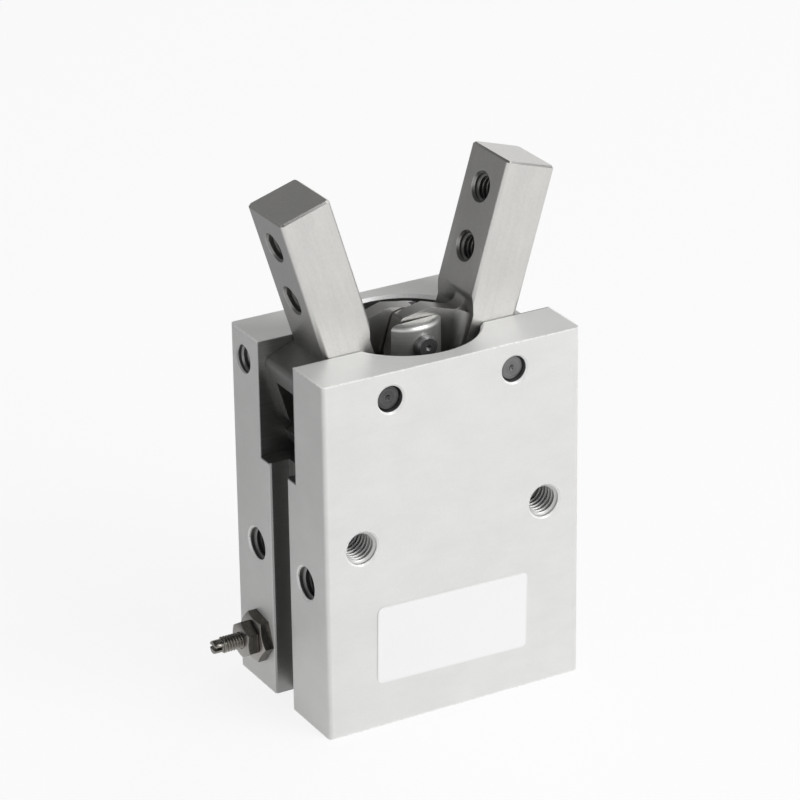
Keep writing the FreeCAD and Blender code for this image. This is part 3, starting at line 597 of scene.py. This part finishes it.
@dataclass(frozen=True)
class MouldedRubber(Finish):
    """Rubber or urethane, matt from its mould."""

    skin: float = 0.1 * MM
    dust: float = 1.2 * MM
    relief: float = 0.008 * MM

    def details(self, graph: Graph) -> dict[str, Any]:
        """Fine skin with dusty clouds.

        Args:
            graph: the material's tree.

        Returns:
            Values and wires by socket.
        """
        where = graph.place()
        skin = graph.noise(where, self.skin, 3.0, 0.6)
        dust = graph.noise(where, self.dust, 3.0).rises(0.45, 0.75)
        return {
            "Base Color": graph.blend(dust, self.dark, self.light),
            "Roughness": self.roughness + 0.15 * (skin - 0.5) + 0.1 * dust,
            "Normal": graph.bump(skin, self.relief),
        }


@dataclass(frozen=True)
class BondedPowder(Finish):
    """Magnet pressed from metal powder in resin."""

    powder: float = 0.14 * MM
    pore: float = 0.3 * MM
    relief: float = 0.01 * MM

    def details(self, graph: Graph) -> dict[str, Any]:
        """Bright grains of powder in dark resin.

        Args:
            graph: the material's tree.

        Returns:
            Values and wires by socket.
        """
        where = graph.place()
        grains = graph.cells(where, self.powder).falls(0.1, 0.35)
        pores = graph.noise(where, self.pore, 2.0)
        return {
            "Base Color": graph.blend(grains * pores, self.dark, self.light),
            "Roughness": self.roughness - 0.25 * grains + 0.2 * (pores - 0.5),
            "Normal": graph.bump(pores + 0.4 * grains, self.relief),
        }


@dataclass(frozen=True)
class LabelFilm(Finish):
    """Blank white film label, faintly mottled, greyer along its cut edge: grime and painted edge shade."""

    centre: Triple = (-0.4 * MM, -FRONT_FACE, 12.8 * MM)
    tilt: float = math.radians(1.2)
    half_width: float = 12.55 * MM
    half_height: float = 6.15 * MM
    rim: float = 0.35 * MM
    fibre: float = 0.15 * MM
    wave: float = 3.5 * MM
    grime_and_edge_shade: Triple = (0.62, 0.62, 0.6)

    def details(self, graph: Graph) -> dict[str, Any]:
        """Mottle of the film, grime and painted edge shade at the rim, and soft waves from the glue below.

        Args:
            graph: the material's tree.

        Returns:
            Values and wires by socket.
        """
        where = graph.place(self.centre, (0.0, self.tilt, 0.0))
        across, _, up = graph.parts(where)
        fibre = graph.noise(where, self.fibre, 3.0, 0.6)
        wave = graph.noise(where, self.wave, 2.0)
        # Rim mask: grime and painted edge shade.
        rim = abs(across).rises(self.half_width - self.rim, self.half_width).at_least(
            abs(up).rises(self.half_height - self.rim, self.half_height))
        film = graph.blend(fibre, self.dark, self.light)
        waves = graph.bump(wave, 0.05 * MM, 0.6)
        return {
            "Base Color": graph.blend(rim * (0.25 + 0.5 * fibre), film, self.grime_and_edge_shade),
            "Roughness": self.roughness + 0.1 * (fibre - 0.5) + 0.2 * rim,
            "Normal": graph.bump(fibre, 0.003 * MM, over=waves),
            "Coat Weight": 0.25,
            "Coat Roughness": 0.3,
        }


def placed(name: str, data: bpy.types.ID) -> bpy.types.Object:
    """New object of the scene, at the origin.

    Args:
        name: its name.
        data: its mesh, lamp or camera.

    Returns:
        The object.
    """
    made = bpy.data.objects.new(name, data)
    bpy.context.scene.collection.objects.link(made)
    return made


@dataclass(frozen=True)
class Surface:
    """Points and faces of a closed shell."""

    points: np.ndarray
    faces: list[Sequence[int]]

    @staticmethod
    def swept(rings: np.ndarray) -> "Surface":
        """Shell through closed rings of points, with a flat face over each end.

        Point (i, j) is point j of ring i. A face joins points j and j + 1 of rings i and i + 1,
        and the last point of a ring is joined to its first.

        Args:
            rings: array of ring, point and coordinate.

        Returns:
            The closed shell.
        """
        count, sides = rings.shape[:2]
        numbers = np.arange(count * sides).reshape(count, sides)
        after = np.roll(numbers, -1, axis=1)
        quads = np.stack([numbers[:-1], after[:-1], after[1:], numbers[1:]], axis=-1)
        faces = quads.reshape(-1, 4).tolist()
        faces += [numbers[0, ::-1].tolist(), numbers[-1].tolist()]
        return Surface(rings.reshape(-1, 3), faces)

    def joined(self, other: "Surface") -> "Surface":
        """Puts both shells into one.

        Args:
            other: the second shell.

        Returns:
            Both, with the points and faces of the second after those of the first.
        """
        shift = len(self.points)
        moved = [[number + shift for number in face] for face in other.faces]
        return Surface(np.concatenate([self.points, other.points]), self.faces + moved)

    def piece(self, name: str, rider: Rider, material: bpy.types.Material,
              sharp: float = math.radians(35)) -> bpy.types.Object:
        """Makes the shell a piece of the scene.

        Args:
            name: the piece's name.
            rider: the body that it moves with.
            material: its finish.
            sharp: angle above which an edge stays sharp.

        Returns:
            The piece.
        """
        mesh = bpy.data.meshes.new(name)
        mesh.from_pydata(self.points.tolist(), [], self.faces)
        work = bmesh.new()
        work.from_mesh(mesh)
        bmesh.ops.recalc_face_normals(work, faces=work.faces)
        work.to_mesh(mesh)
        work.free()
        mesh.materials.append(material)
        mesh.shade_smooth()
        mesh.set_sharp_from_angle(angle=sharp)
        made = placed(name, mesh)
        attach(made, rider.value)
        LOG.info("piece %s: %d faces", name, len(mesh.polygons))
        return made


@dataclass(frozen=True)
class Frame:
    """Right-handed frame of a hole or screw, whose third axis is its own axis."""

    origin: Triple
    axis: Triple

    def spread(self, across: np.ndarray, aside: np.ndarray, along: np.ndarray) -> np.ndarray:
        """Turns coordinates in this frame into points.

        Args:
            across: coordinates along the first axis.
            aside: coordinates along the second.
            along: coordinates along the frame's own axis.

        Returns:
            Points, with the coordinates as the last index.
        """
        third = np.array(self.axis, float)
        first = np.cross((0.0, 0.0, 1.0) if abs(third[2]) < 0.9 else (0.0, 1.0, 0.0), third)
        first /= np.linalg.norm(first)
        second = np.cross(third, first)
        return (np.array(self.origin) + across[..., None] * first + aside[..., None] * second
                + along[..., None] * third)


@dataclass(frozen=True)
class ThreadRidge:
    """Helical ridge that makes a plain bore a thread."""

    mouth: Triple
    inwards: Triple
    major: float
    pitch: float
    height: float
    start: float
    end: float
    sides: int = 44
    foot_share: float = 0.44
    crest_share: float = 0.13
    inset: float = 0.03 * MM
    least: float = 0.02

    def surface(self) -> Surface:
        """Ridge section carried along a right-handed helix.

        At turn t the section stands at the angle 2 pi t and the depth start + pitch t. Its crest
        is major - height from the axis, and fades to the wall over the first and last third of
        a turn, down to its least share. Its foot lies a little inside the wall.

        Returns:
            The closed shell of the ridge.
        """
        turns = (self.end - self.start) / self.pitch
        turn = np.linspace(0, turns, int(turns * self.sides))
        fade = np.clip(np.minimum(turn, turns - turn) * 3, self.least, 1)
        foot = np.full_like(turn, self.major + self.inset)
        wall = np.full_like(turn, self.major)
        crest = self.major - self.height * fade
        radii = np.stack([foot, wall, crest, crest, wall, foot], axis=1)
        half_foot, half_crest = self.foot_share * self.pitch, self.crest_share * self.pitch
        shifts = np.array([-half_foot, -half_foot, -half_crest, half_crest, half_foot, half_foot])
        depth = self.start + (self.pitch * turn)[:, None] + shifts
        angle = 2 * np.pi * turn[:, None]
        points = Frame(self.mouth, self.inwards).spread(
            radii * np.cos(angle), radii * np.sin(angle), depth)
        return Surface.swept(points)


@dataclass(frozen=True)
class SoftCopy:
    """Copy of a CAD node whose sharp edges are broken as on the real piece."""

    node: str
    width: float
    rider: Rider
    slot: str
    merge: float = 0.0005 * MM
    flat: float = math.radians(0.4)
    sharp: float = math.radians(28)

    def merged(self, name: str) -> bpy.types.Mesh:
        """Copies the node's mesh, with its triangles joined into flat faces.

        Args:
            name: the copy's name.

        Returns:
            The copy, with neither finish nor custom normals.
        """
        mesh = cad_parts[self.node].data.copy()
        mesh.name = name
        work = bmesh.new()
        work.from_mesh(mesh)
        bmesh.ops.remove_doubles(work, verts=work.verts, dist=self.merge)
        bmesh.ops.dissolve_limit(work, angle_limit=self.flat, verts=work.verts, edges=work.edges)
        work.to_mesh(mesh)
        work.free()
        if "custom_normal" in mesh.attributes:
            mesh.attributes.remove(mesh.attributes["custom_normal"])
        mesh.materials.clear()
        return mesh

    def piece(self, material: bpy.types.Material,
              edge: bpy.types.Material | None = None) -> bpy.types.Object:
        """Bevels the copy and lets it stand for the node.

        The overlap clamp narrows the whole bevel to suit the mesh's shortest edges.

        Args:
            material: the copy's finish.
            edge: the finish of the broken edges, where it differs; a lighter one is a painted highlight.

        Returns:
            The piece that stands for the node.
        """
        name = self.node + "_finished"
        mesh = self.merged(name)
        mesh.materials.append(material)
        mesh.shade_smooth()
        mesh.set_sharp_from_angle(angle=self.sharp)
        made = placed(name, mesh)
        bevel = made.modifiers.new("broken_edges", "BEVEL")
        bevel.width = self.width
        bevel.segments = 2
        bevel.limit_method = "ANGLE"
        bevel.angle_limit = self.sharp
        bevel.harden_normals = True
        bevel.use_clamp_overlap = True
        if edge is not None:
            mesh.materials.append(edge)
            bevel.material = 1
        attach(made, self.rider.value)
        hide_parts(self.node)
        LOG.info("piece %s: %d faces before its bevel", name, len(mesh.polygons))
        return made


def dress(node: str, finish: Finish) -> None:
    """Gives a CAD node its finish.

    Args:
        node: the node's name.
        finish: its finish.
    """
    material = finish.material()
    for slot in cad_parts[node].material_slots:
        slot.material = material
    LOG.info("node %s: %s", node, finish.name)


@dataclass(frozen=True)
class Housing:
    """Body with its threads, pins, covers, rings, plug balls and label."""

    face: float = FRONT_FACE
    side: float = SIDE_FACE
    thread: float = 2.5 * MM
    pitch: float = 0.8 * MM
    ridge: float = 0.4 * MM
    thread_start: float = 0.45 * MM
    front_spacing: float = 30.2 * MM
    front_height: float = 29.2 * MM
    front_depth: float = 8.8 * MM
    side_spacing: float = 15.0 * MM
    side_height: float = 22.6 * MM
    side_depth: float = 6.8 * MM
    port: float = 2.2 * MM
    port_start: float = 0.4 * MM
    port_depth: float = 6.6 * MM
    opening_port: Pair = (9.9 * MM, 51.1 * MM)
    closing_port: Pair = (7.5 * MM, 26.5 * MM)
    pivot: Pair = LEVER_PIVOT
    shaft: float = 2.0 * MM
    # Share of painted shade on the front mounts' walls.
    front_shade_share: float = 0.45
    edge: float = 0.12 * MM
    aluminium: BlastedAluminium = BlastedAluminium(
        "blasted_aluminium", (0.68, 0.68, 0.67), (0.76, 0.76, 0.75), 0.52, 0.35)

    def front_mouth(self, sign: int) -> Triple:
        """Middle of a front mount's mouth, left for -1 and right for 1."""
        return sign * self.front_spacing / 2, -self.face, self.front_height

    def side_mouth(self, sign: int) -> Triple:
        """Middle of a side mount's mouth, in front for -1 and behind for 1."""
        return -self.side, sign * self.side_spacing / 2, self.side_height

    def threads(self) -> dict[str, ThreadRidge]:
        """Thread ridges of the mount holes and the air ports.

        Returns:
            The ridges by the names of their pieces.
        """
        made = {}
        for name, mouth, inwards, depth in (
                ("front_left", self.front_mouth(-1), (0, 1, 0), self.front_depth),
                ("front_right", self.front_mouth(1), (0, 1, 0), self.front_depth),
                ("side_front", self.side_mouth(-1), (1, 0, 0), self.side_depth),
                ("side_rear", self.side_mouth(1), (1, 0, 0), self.side_depth)):
            made[name + "_thread"] = ThreadRidge(
                mouth, inwards, self.thread, self.pitch, self.ridge, self.thread_start, depth)
        for name, (depth, up), sign in (("opening", self.opening_port, 1),
                                        ("closing", self.closing_port, -1)):
            made[f"{name}_port_thread"] = ThreadRidge(
                (-sign * self.side, depth, up), (sign, 0, 0), self.port, self.pitch,
                0.75 * self.ridge, self.port_start, self.port_depth)
        return made

    def holes(self) -> tuple[Hole, ...]:
        """Holes whose walls the body's finish darkens with painted shade.

        Returns:
            The mount threads, the air ports and the shafts' holes.
        """
        across, up = self.pivot
        signs = (-1, 1)
        return (
            *(Hole(Axis.Y, self.front_mouth(sign), self.thread, self.front_shade_share) for sign in signs),
            *(Hole(Axis.X, self.side_mouth(sign), self.thread) for sign in signs),
            Hole(Axis.X, (-self.side, *self.opening_port), self.port),
            Hole(Axis.X, (self.side, *self.closing_port), self.port),
            *(Hole(Axis.Y, (sign * across, -self.face, up), self.shaft) for sign in signs),
        )

    def build(self) -> None:
        """Builds the threads and the softened body, and dresses the nodes around it."""
        aluminium = replace(self.aluminium, holes=self.holes())
        material = aluminium.material()
        for name, ridge in self.threads().items():
            ridge.surface().piece(name, Rider.HOUSING, material)
        # Lighter finish of the body's broken edges: a painted highlight, without the painted shade of the
        # recesses.
        edge = replace(aluminium, name="highlight_edge_aluminium", dark=(0.84, 0.84, 0.83),
                       light=(0.92, 0.92, 0.91), roughness=0.4, recess_shade=1.0)
        body = SoftCopy("body", self.edge, Rider.HOUSING, "body_aluminium")
        body.piece(material, edge.material())
        self.dress_metal()
        self.dress_soft()

    def dress_metal(self) -> None:
        """Dresses the covers, the shafts, their rings and the plug balls."""
        for node in ("rod_cover", "end_cap"):
            dress(node, TurnedMetal(node + "_aluminium", (0.55, 0.55, 0.54), (0.72, 0.72, 0.71), 0.3,
                                    0.9, ring=0.14 * MM, depth=0.006 * MM))
        across, up = self.pivot
        # Shaft steel darkened, the right shaft lighter than the left: painted shade and light on the same
        # steel.
        for node, sign, dark, light in (("left_shaft", -1, (0.05, 0.05, 0.05), (0.13, 0.13, 0.13)),
                                        ("right_shaft", 1, (0.13, 0.13, 0.13), (0.24, 0.24, 0.24))):
            dress(node, TurnedMetal(node + "_steel", dark, light, 0.35, 0.9, Axis.Y,
                                    (sign * across, 0.0, up)))
        for node in ("rod_cover_ring", "end_cap_ring"):
            dress(node, TurnedMetal(node + "_steel", (0.07, 0.07, 0.075), (0.13, 0.13, 0.13), 0.42,
                                    0.85, patina=0.6))
        dress("passage_balls", TurnedMetal("ball_steel", (0.6, 0.6, 0.6), (0.7, 0.7, 0.7), 0.14, 1.0,
                                           Axis.X, depth=0.001 * MM))

    def dress_soft(self) -> None:
        """Dresses the rod's seal, the gaskets, the bumpers and the label."""
        rubber = MouldedRubber("moulded_rubber", *BLACK_RUBBER, 0.55, 0.0)
        for node in ("rod_seal", "rod_cover_gasket", "end_cap_gasket", "guide_gasket"):
            dress(node, rubber)
        soft = MouldedRubber("stop_urethane", (0.05, 0.034, 0.02), (0.11, 0.08, 0.05), 0.45, 0.0)
        for node in ("upper_bumper", "lower_bumper"):
            dress(node, soft)
        dress("label", LabelFilm("label_film", (0.83, 0.83, 0.83), (0.88, 0.88, 0.88), 0.42, 0.0))


@dataclass(frozen=True)
class Levers:
    """Both finger levers with their mount threads."""

    pivot: Pair = LEVER_PIVOT
    tilt: float = math.radians(17)
    length: float = 27.95 * MM
    outer: float = 4.15 * MM
    thickness: float = 8.25 * MM
    thread: float = 2.0 * MM
    pitch: float = 0.7 * MM
    ridge: float = 0.34 * MM
    thread_margin: float = 0.6 * MM
    thread_drops: Pair = (5.4 * MM, 14.352 * MM)
    edge: float = 0.28 * MM
    edge_root: Pair = (-20.0 * MM, -19.0 * MM)

    def thread_ridge(self, sign: int, drop: float) -> ThreadRidge:
        """Ridge of one mount thread.

        Its mouth is at the distance outer from the finger's line, at the height length - drop
        along it, and the line leans outwards by tilt from the pivot.

        Args:
            sign: 1 for the right lever and -1 for the left one.
            drop: distance from the finger's top.

        Returns:
            The ridge.
        """
        sine, cosine = math.sin(self.tilt), math.cos(self.tilt)
        height = self.length - drop
        across = self.pivot[0] + self.outer * cosine + height * sine
        up = self.pivot[1] - self.outer * sine + height * cosine
        return ThreadRidge((sign * across, 0.0, up), (-sign * cosine, 0.0, sine), self.thread,
                           self.pitch, self.ridge, self.thread_margin,
                           self.thickness - self.thread_margin)

    def build(self) -> None:
        """Builds the softened levers and their threads."""
        for side, sign, rider in (("left", -1, Rider.LEFT_LEVER), ("right", 1, Rider.RIGHT_LEVER)):
            steel = GroundSteel(f"{side}_finger_steel", (0.58, 0.575, 0.56), (0.67, 0.66, 0.64), 0.34,
                                1.0, (sign * self.pivot[0], 0.0, self.pivot[1]), sign * self.tilt)
            material = steel.material()
            # Lighter, less metallic finish of the broken edges: a painted highlight.
            edge = replace(steel, name=f"{side}_highlight_edge_steel", dark=(0.86, 0.86, 0.85), roughness=0.38,
                           light=(0.96, 0.96, 0.95), metallic=0.25, root=self.edge_root)
            lever = SoftCopy(f"{side}_finger", self.edge, rider, "finger_steel")
            lever.piece(material, edge.material())
            for name, drop in zip(("upper", "lower"), self.thread_drops):
                ridge = self.thread_ridge(sign, drop).surface()
                ridge.piece(f"{side}_{name}_thread", rider, material)


@dataclass(frozen=True)
class Drive:
    """Piston, rod and joint pin with their seals and magnet."""

    pin_height: float = 53.906 * MM

    def build(self) -> None:
        """Dresses every node."""
        dress("joint_rod", TurnedMetal("joint_steel", (0.52, 0.52, 0.51), (0.7, 0.695, 0.68), 0.4, 0.9,
                                       depth=0.002 * MM))
        dress("joint_pin", TurnedMetal("pin_steel", (0.16, 0.16, 0.16), (0.28, 0.28, 0.28), 0.4, 0.9,
                                       Axis.Y, (0.0, 0.0, self.pin_height)))
        dress("piston", TurnedMetal("piston_aluminium", (0.55, 0.55, 0.54), (0.7, 0.7, 0.69), 0.3,
                                    0.9, ring=0.14 * MM, depth=0.006 * MM))
        dress("piston_seal", MouldedRubber("piston_rubber", *BLACK_RUBBER, 0.5, 0.0))
        dress("magnet", BondedPowder("bonded_magnet", (0.03, 0.027, 0.025), (0.22, 0.21, 0.2), 0.6,
                                     0.35))


@dataclass(frozen=True)
class Adjuster:
    """Air adjuster on the left side: guide, lock nut and threaded needle."""

    origin: Triple = (-SIDE_FACE, 6.8 * MM, 8.0 * MM)
    outwards: Triple = (-1.0, 0.0, 0.0)
    pitch: float = 0.45 * MM
    major: float = 1.25 * MM
    cut: float = 0.24 * MM
    thread_start: float = -2.0 * MM
    thread_end: float = 6.45 * MM
    thread_rows: int = 12
    tip_radius: float = 1.0 * MM
    tip_start: float = 6.6 * MM
    tip_neck: float = 0.12 * MM
    slot_floor: float = 7.0 * MM
    tip_end: float = 8.1 * MM
    slot_half: float = 0.25 * MM
    tip_edge: float = 0.15 * MM
    sides: int = 48
    arc_sides: int = 20
    edge: float = 0.12 * MM

    def needle_outline(self) -> np.ndarray:
        """Needle inside the guide, as distances from the body's face and radii at them."""
        return np.array([
            (-9.2, 0.3), (-7.6, 0.6), (-6.1, 0.8), (-4.58, 0.8), (-4.58, 1.8), (-3.93, 1.8),
            (-3.93, 1.2), (-3.13, 1.2), (-3.13, 1.8), (-2.48, 1.8), (-2.48, 1.25)]) * MM

    def shank(self) -> Surface:
        """Needle as a turned shell with its thread cut into the shank.

        On the threaded length the radius is major - cut times a groove. With f as the fraction
        of distance / pitch - angle / 2 pi and s as 1 - |2 f - 1|, the groove is 1.25 s - 0.1,
        held between 0 at the crest and 1 in the root. The cut fades over half a turn at both
        ends. Elsewhere the radius is the outline's.

        Returns:
            The closed shell from the point to the slot's floor.
        """
        rows = np.arange(self.thread_start, self.thread_end, self.pitch / self.thread_rows)
        outline = self.needle_outline()
        tip = self.tip_start
        tail = np.array([(tip - self.tip_neck, self.major), (tip, self.major - self.tip_edge),
                         (tip, self.tip_radius), (self.slot_floor, self.tip_radius)])
        distance = np.concatenate([outline[:, 0], rows, tail[:, 0]])
        radius = np.concatenate([outline[:, 1], np.full_like(rows, self.major), tail[:, 1]])
        to_end = np.minimum(rows - self.thread_start, self.thread_end - rows)
        fade = np.clip(to_end / self.pitch * 2, 0, 1)
        depth = np.concatenate([np.zeros(len(outline)), self.cut * fade, np.zeros(len(tail))])
        angle = np.linspace(0, 2 * np.pi, self.sides, endpoint=False)
        phase = np.mod(distance[:, None] / self.pitch - angle / (2 * np.pi), 1)
        groove = np.clip(1.25 * (1 - np.abs(2 * phase - 1)) - 0.1, 0, 1)
        radii = radius[:, None] - depth[:, None] * groove
        along = np.broadcast_to(distance[:, None], radii.shape)
        return Surface.swept(Frame(self.origin, self.outwards).spread(
            radii * np.cos(angle), radii * np.sin(angle), along))

    def prong(self, sign: int) -> Surface:
        """One side of the slotted tip.

        Its section is the part of the tip's circle beyond the slot, drawn as an arc and a
        chord, and its last ring is pulled in by the edge's bevel.

        Args:
            sign: which side of the slot it is on.

        Returns:
            The closed shell.
        """
        low = math.asin(self.slot_half / self.tip_radius)
        arc = np.linspace(low, math.pi - low, self.arc_sides)
        across, aside = self.tip_radius * np.cos(arc), self.tip_radius * np.sin(arc)
        middle = aside.mean()
        levels = np.array([self.slot_floor - 0.05 * MM, self.tip_end - self.tip_edge, self.tip_end])
        shrink = np.array([1, 1, 1 - self.tip_edge / self.tip_radius])[:, None]
        columns = across * shrink, sign * (middle + (aside - middle) * shrink)
        along = np.broadcast_to(levels[:, None], columns[0].shape)
        return Surface.swept(Frame(self.origin, self.outwards).spread(*columns, along))

    def build(self) -> None:
        """Builds the needle and the softened hexagons, and dresses the O-ring."""
        metal = TurnedMetal("dark_nickel", (0.2, 0.19, 0.17), (0.34, 0.325, 0.3), 0.24, 1.0, Axis.X,
                            self.origin, ring=0.12 * MM, patina=0.5)
        material = metal.material()
        needle = self.shank().joined(self.prong(1)).joined(self.prong(-1))
        screw = needle.piece("needle_threaded", Rider.NEEDLE, material)
        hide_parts("needle")
        hexagon = PlatedHexagon("plated_hexagon", (0.12, 0.112, 0.1), (0.22, 0.208, 0.19), 0.3, 1.0,
                                Axis.X, self.origin, ring=0.12 * MM, patina=0.4).material()
        SoftCopy("needle_guide", self.edge, Rider.HOUSING, "adjuster_metal").piece(hexagon)
        SoftCopy("lock_nut", self.edge, Rider.NUT, "adjuster_metal").piece(hexagon)
        dress("needle_o_ring", MouldedRubber("needle_rubber", *BLACK_RUBBER, 0.5, 0.0))


@dataclass(frozen=True)
class Lamp:
    """Square soft lamp that looks at a point above the floor."""

    name: str
    place: Triple
    aim: Triple
    side: float
    power: float

    def hang(self) -> None:
        """Adds the lamp to the scene."""
        data = bpy.data.lights.new(self.name, "AREA")
        data.shape = "SQUARE"
        data.size = self.side
        data.energy = self.power
        lamp = placed(self.name, data)
        lamp.location = self.place
        look = Vector(self.aim) - Vector(self.place)
        lamp.rotation_euler = look.to_track_quat("-Z", "Y").to_euler()
        LOG.info("lamp %s", self.name)


@dataclass(frozen=True)
class Studio:
    """Camera of the photograph, pale floor, soft lamps and pale surroundings."""

    azimuth: float = math.radians(-29.366)
    elevation: float = math.radians(24.2016)
    roll: float = math.radians(-0.7798)
    sensor: float = 36.0
    lens: float = 175.03
    clip: Pair = (0.01, 20.0)
    distance: float = 579.795 * MM
    aside: float = -1.3304 * MM
    above: float = 39.6985 * MM
    floor_radius: float = 0.45
    floor_sides: int = 96
    floor_colour: Triple = (0.9, 0.9, 0.9)
    floor_shade_behind: Triple = (0.3, 0.3, 0.31)
    ambient: float = 0.42
    white: float = 0.85
    lamps: tuple[Lamp, ...] = (
        Lamp("key_lamp", (0.35, -0.75, 0.55), (0.0, 0.0, 0.04), 0.5, 5.0),
        Lamp("fill_lamp", (-0.9, -0.35, 0.5), (0.0, 0.0, 0.04), 0.7, 0.4),
        Lamp("top_lamp", (0.6, 0.3, 0.7), (0.0, 0.0, 0.05), 0.5, 1.0),
        Lamp("edge_lamp", (0.45, -0.4, 0.8), (0.0, 0.0, 0.05), 0.22, 1.1),
    )

    def set_camera(self) -> None:
        """Stands the camera where the photograph was taken from.

        Its back vector has the azimuth and elevation, its right vector is level before the
        roll, and it is moved by aside and above in its own plane, away from the origin.
        """
        level = math.cos(self.elevation)
        back = Vector((math.sin(self.azimuth) * level, -math.cos(self.azimuth) * level,
                       math.sin(self.elevation)))
        right = (-back).cross(Vector((0, 0, 1))).normalized()
        upright = right.cross(-back)
        right, upright = (right * math.cos(self.roll) + upright * math.sin(self.roll),
                          upright * math.cos(self.roll) - right * math.sin(self.roll))
        data = bpy.data.cameras.new("photo_camera")
        data.sensor_width = self.sensor
        data.lens = self.lens
        data.clip_start, data.clip_end = self.clip
        turn = Matrix((right, upright, back)).transposed()
        place = back * self.distance + right * self.aside + upright * self.above
        camera = placed("photo_camera", data)
        camera.matrix_world = Matrix.Translation(place) @ turn.to_4x4()
        bpy.context.scene.camera = camera

    def lay_floor(self) -> None:
        """Lays a round floor: one face, whose corners lie on a circle about the origin."""
        angle = np.linspace(0, 2 * np.pi, self.floor_sides, endpoint=False)
        rim = np.stack([np.cos(angle), np.sin(angle), 0 * angle], axis=1) * self.floor_radius
        mesh = bpy.data.meshes.new("floor")
        mesh.from_pydata(rim.tolist(), [], [list(range(len(rim)))])
        mesh.materials.append(self.floor_paper())
        placed("floor", mesh)

    def floor_paper(self) -> bpy.types.Material:
        """Pale paper that keeps shadows and glows a little to the camera and in mirrors.

        In mirrors the glow is darker behind the object: painted shade.

        Returns:
            The floor's material.
        """
        material = bpy.data.materials.new("floor_paper")
        material.use_nodes = True
        graph = Graph(material.node_tree)
        path = graph.node("ShaderNodeLightPath")
        camera, glossy, through = (Wire(graph, path.outputs[name])
                                   for name in ("Is Camera Ray", "Is Glossy Ray", "Is Transmission Ray"))
        across, depth, _ = graph.parts(graph.place())
        # Floor behind the object, darker in mirrors: painted shade.
        behind = (depth - 0.5 * across).rises(0.0, 0.09)
        paper = graph.node("ShaderNodeBsdfDiffuse", None, {"Color": (*self.floor_colour, 1.0)})
        glow = graph.node("ShaderNodeEmission", None, {
            "Color": graph.blend(behind * glossy, (1.0, 1.0, 1.0), self.floor_shade_behind)})
        mixed = graph.node("ShaderNodeMixShader", None, {
            0: camera.at_least(through).at_least(glossy) * self.white,
            1: Wire(graph, paper.outputs[0]),
            2: Wire(graph, glow.outputs[0])})
        graph.node("ShaderNodeOutputMaterial", None, {"Surface": Wire(graph, mixed.outputs[0])})
        return material

    def set_world(self) -> None:
        """Pale surroundings: white to the camera, dimmer overhead and behind on the left."""
        world = bpy.data.worlds.new("studio_room")
        world.use_nodes = True
        bpy.context.scene.world = world
        graph = Graph(world.node_tree)
        path = graph.node("ShaderNodeLightPath")
        camera = Wire(graph, path.outputs["Is Camera Ray"])
        glossy = Wire(graph, path.outputs["Is Glossy Ray"])
        source = graph.node("ShaderNodeTexCoord")
        across, depth, up = graph.parts(Wire(graph, source.outputs["Generated"]))
        overhead = up.rises(0.22, 0.55)
        behind_left = (depth - 0.9 * across).rises(0.75, 1.15) * abs(up).falls(0.3, 0.6)
        mirror = (1 - 0.9 * overhead) * (1 - 0.75 * behind_left)
        level = camera.at_least(glossy * mirror).at_least((1 - glossy) * self.ambient)
        back = graph.node("ShaderNodeBackground", None, {"Color": (1.0, 1.0, 1.0, 1.0), "Strength": level})
        graph.node("ShaderNodeOutputWorld", None, {"Surface": Wire(graph, back.outputs[0])})

    def build(self) -> None:
        """Sets camera, floor, lamps and surroundings, and the plain view transform."""
        self.set_camera()
        self.lay_floor()
        self.set_world()
        for lamp in self.lamps:
            lamp.hang()
        bpy.context.scene.view_settings.view_transform = "Standard"
        LOG.info("studio set")


def main() -> None:
    """Builds each sub-assembly in order, then the studio."""
    logging.basicConfig(level=logging.INFO, format="%(message)s")
    for part in (Housing(), Levers(), Drive(), Adjuster(), Studio()):
        part.build()


if __name__ == "__main__":
    main()
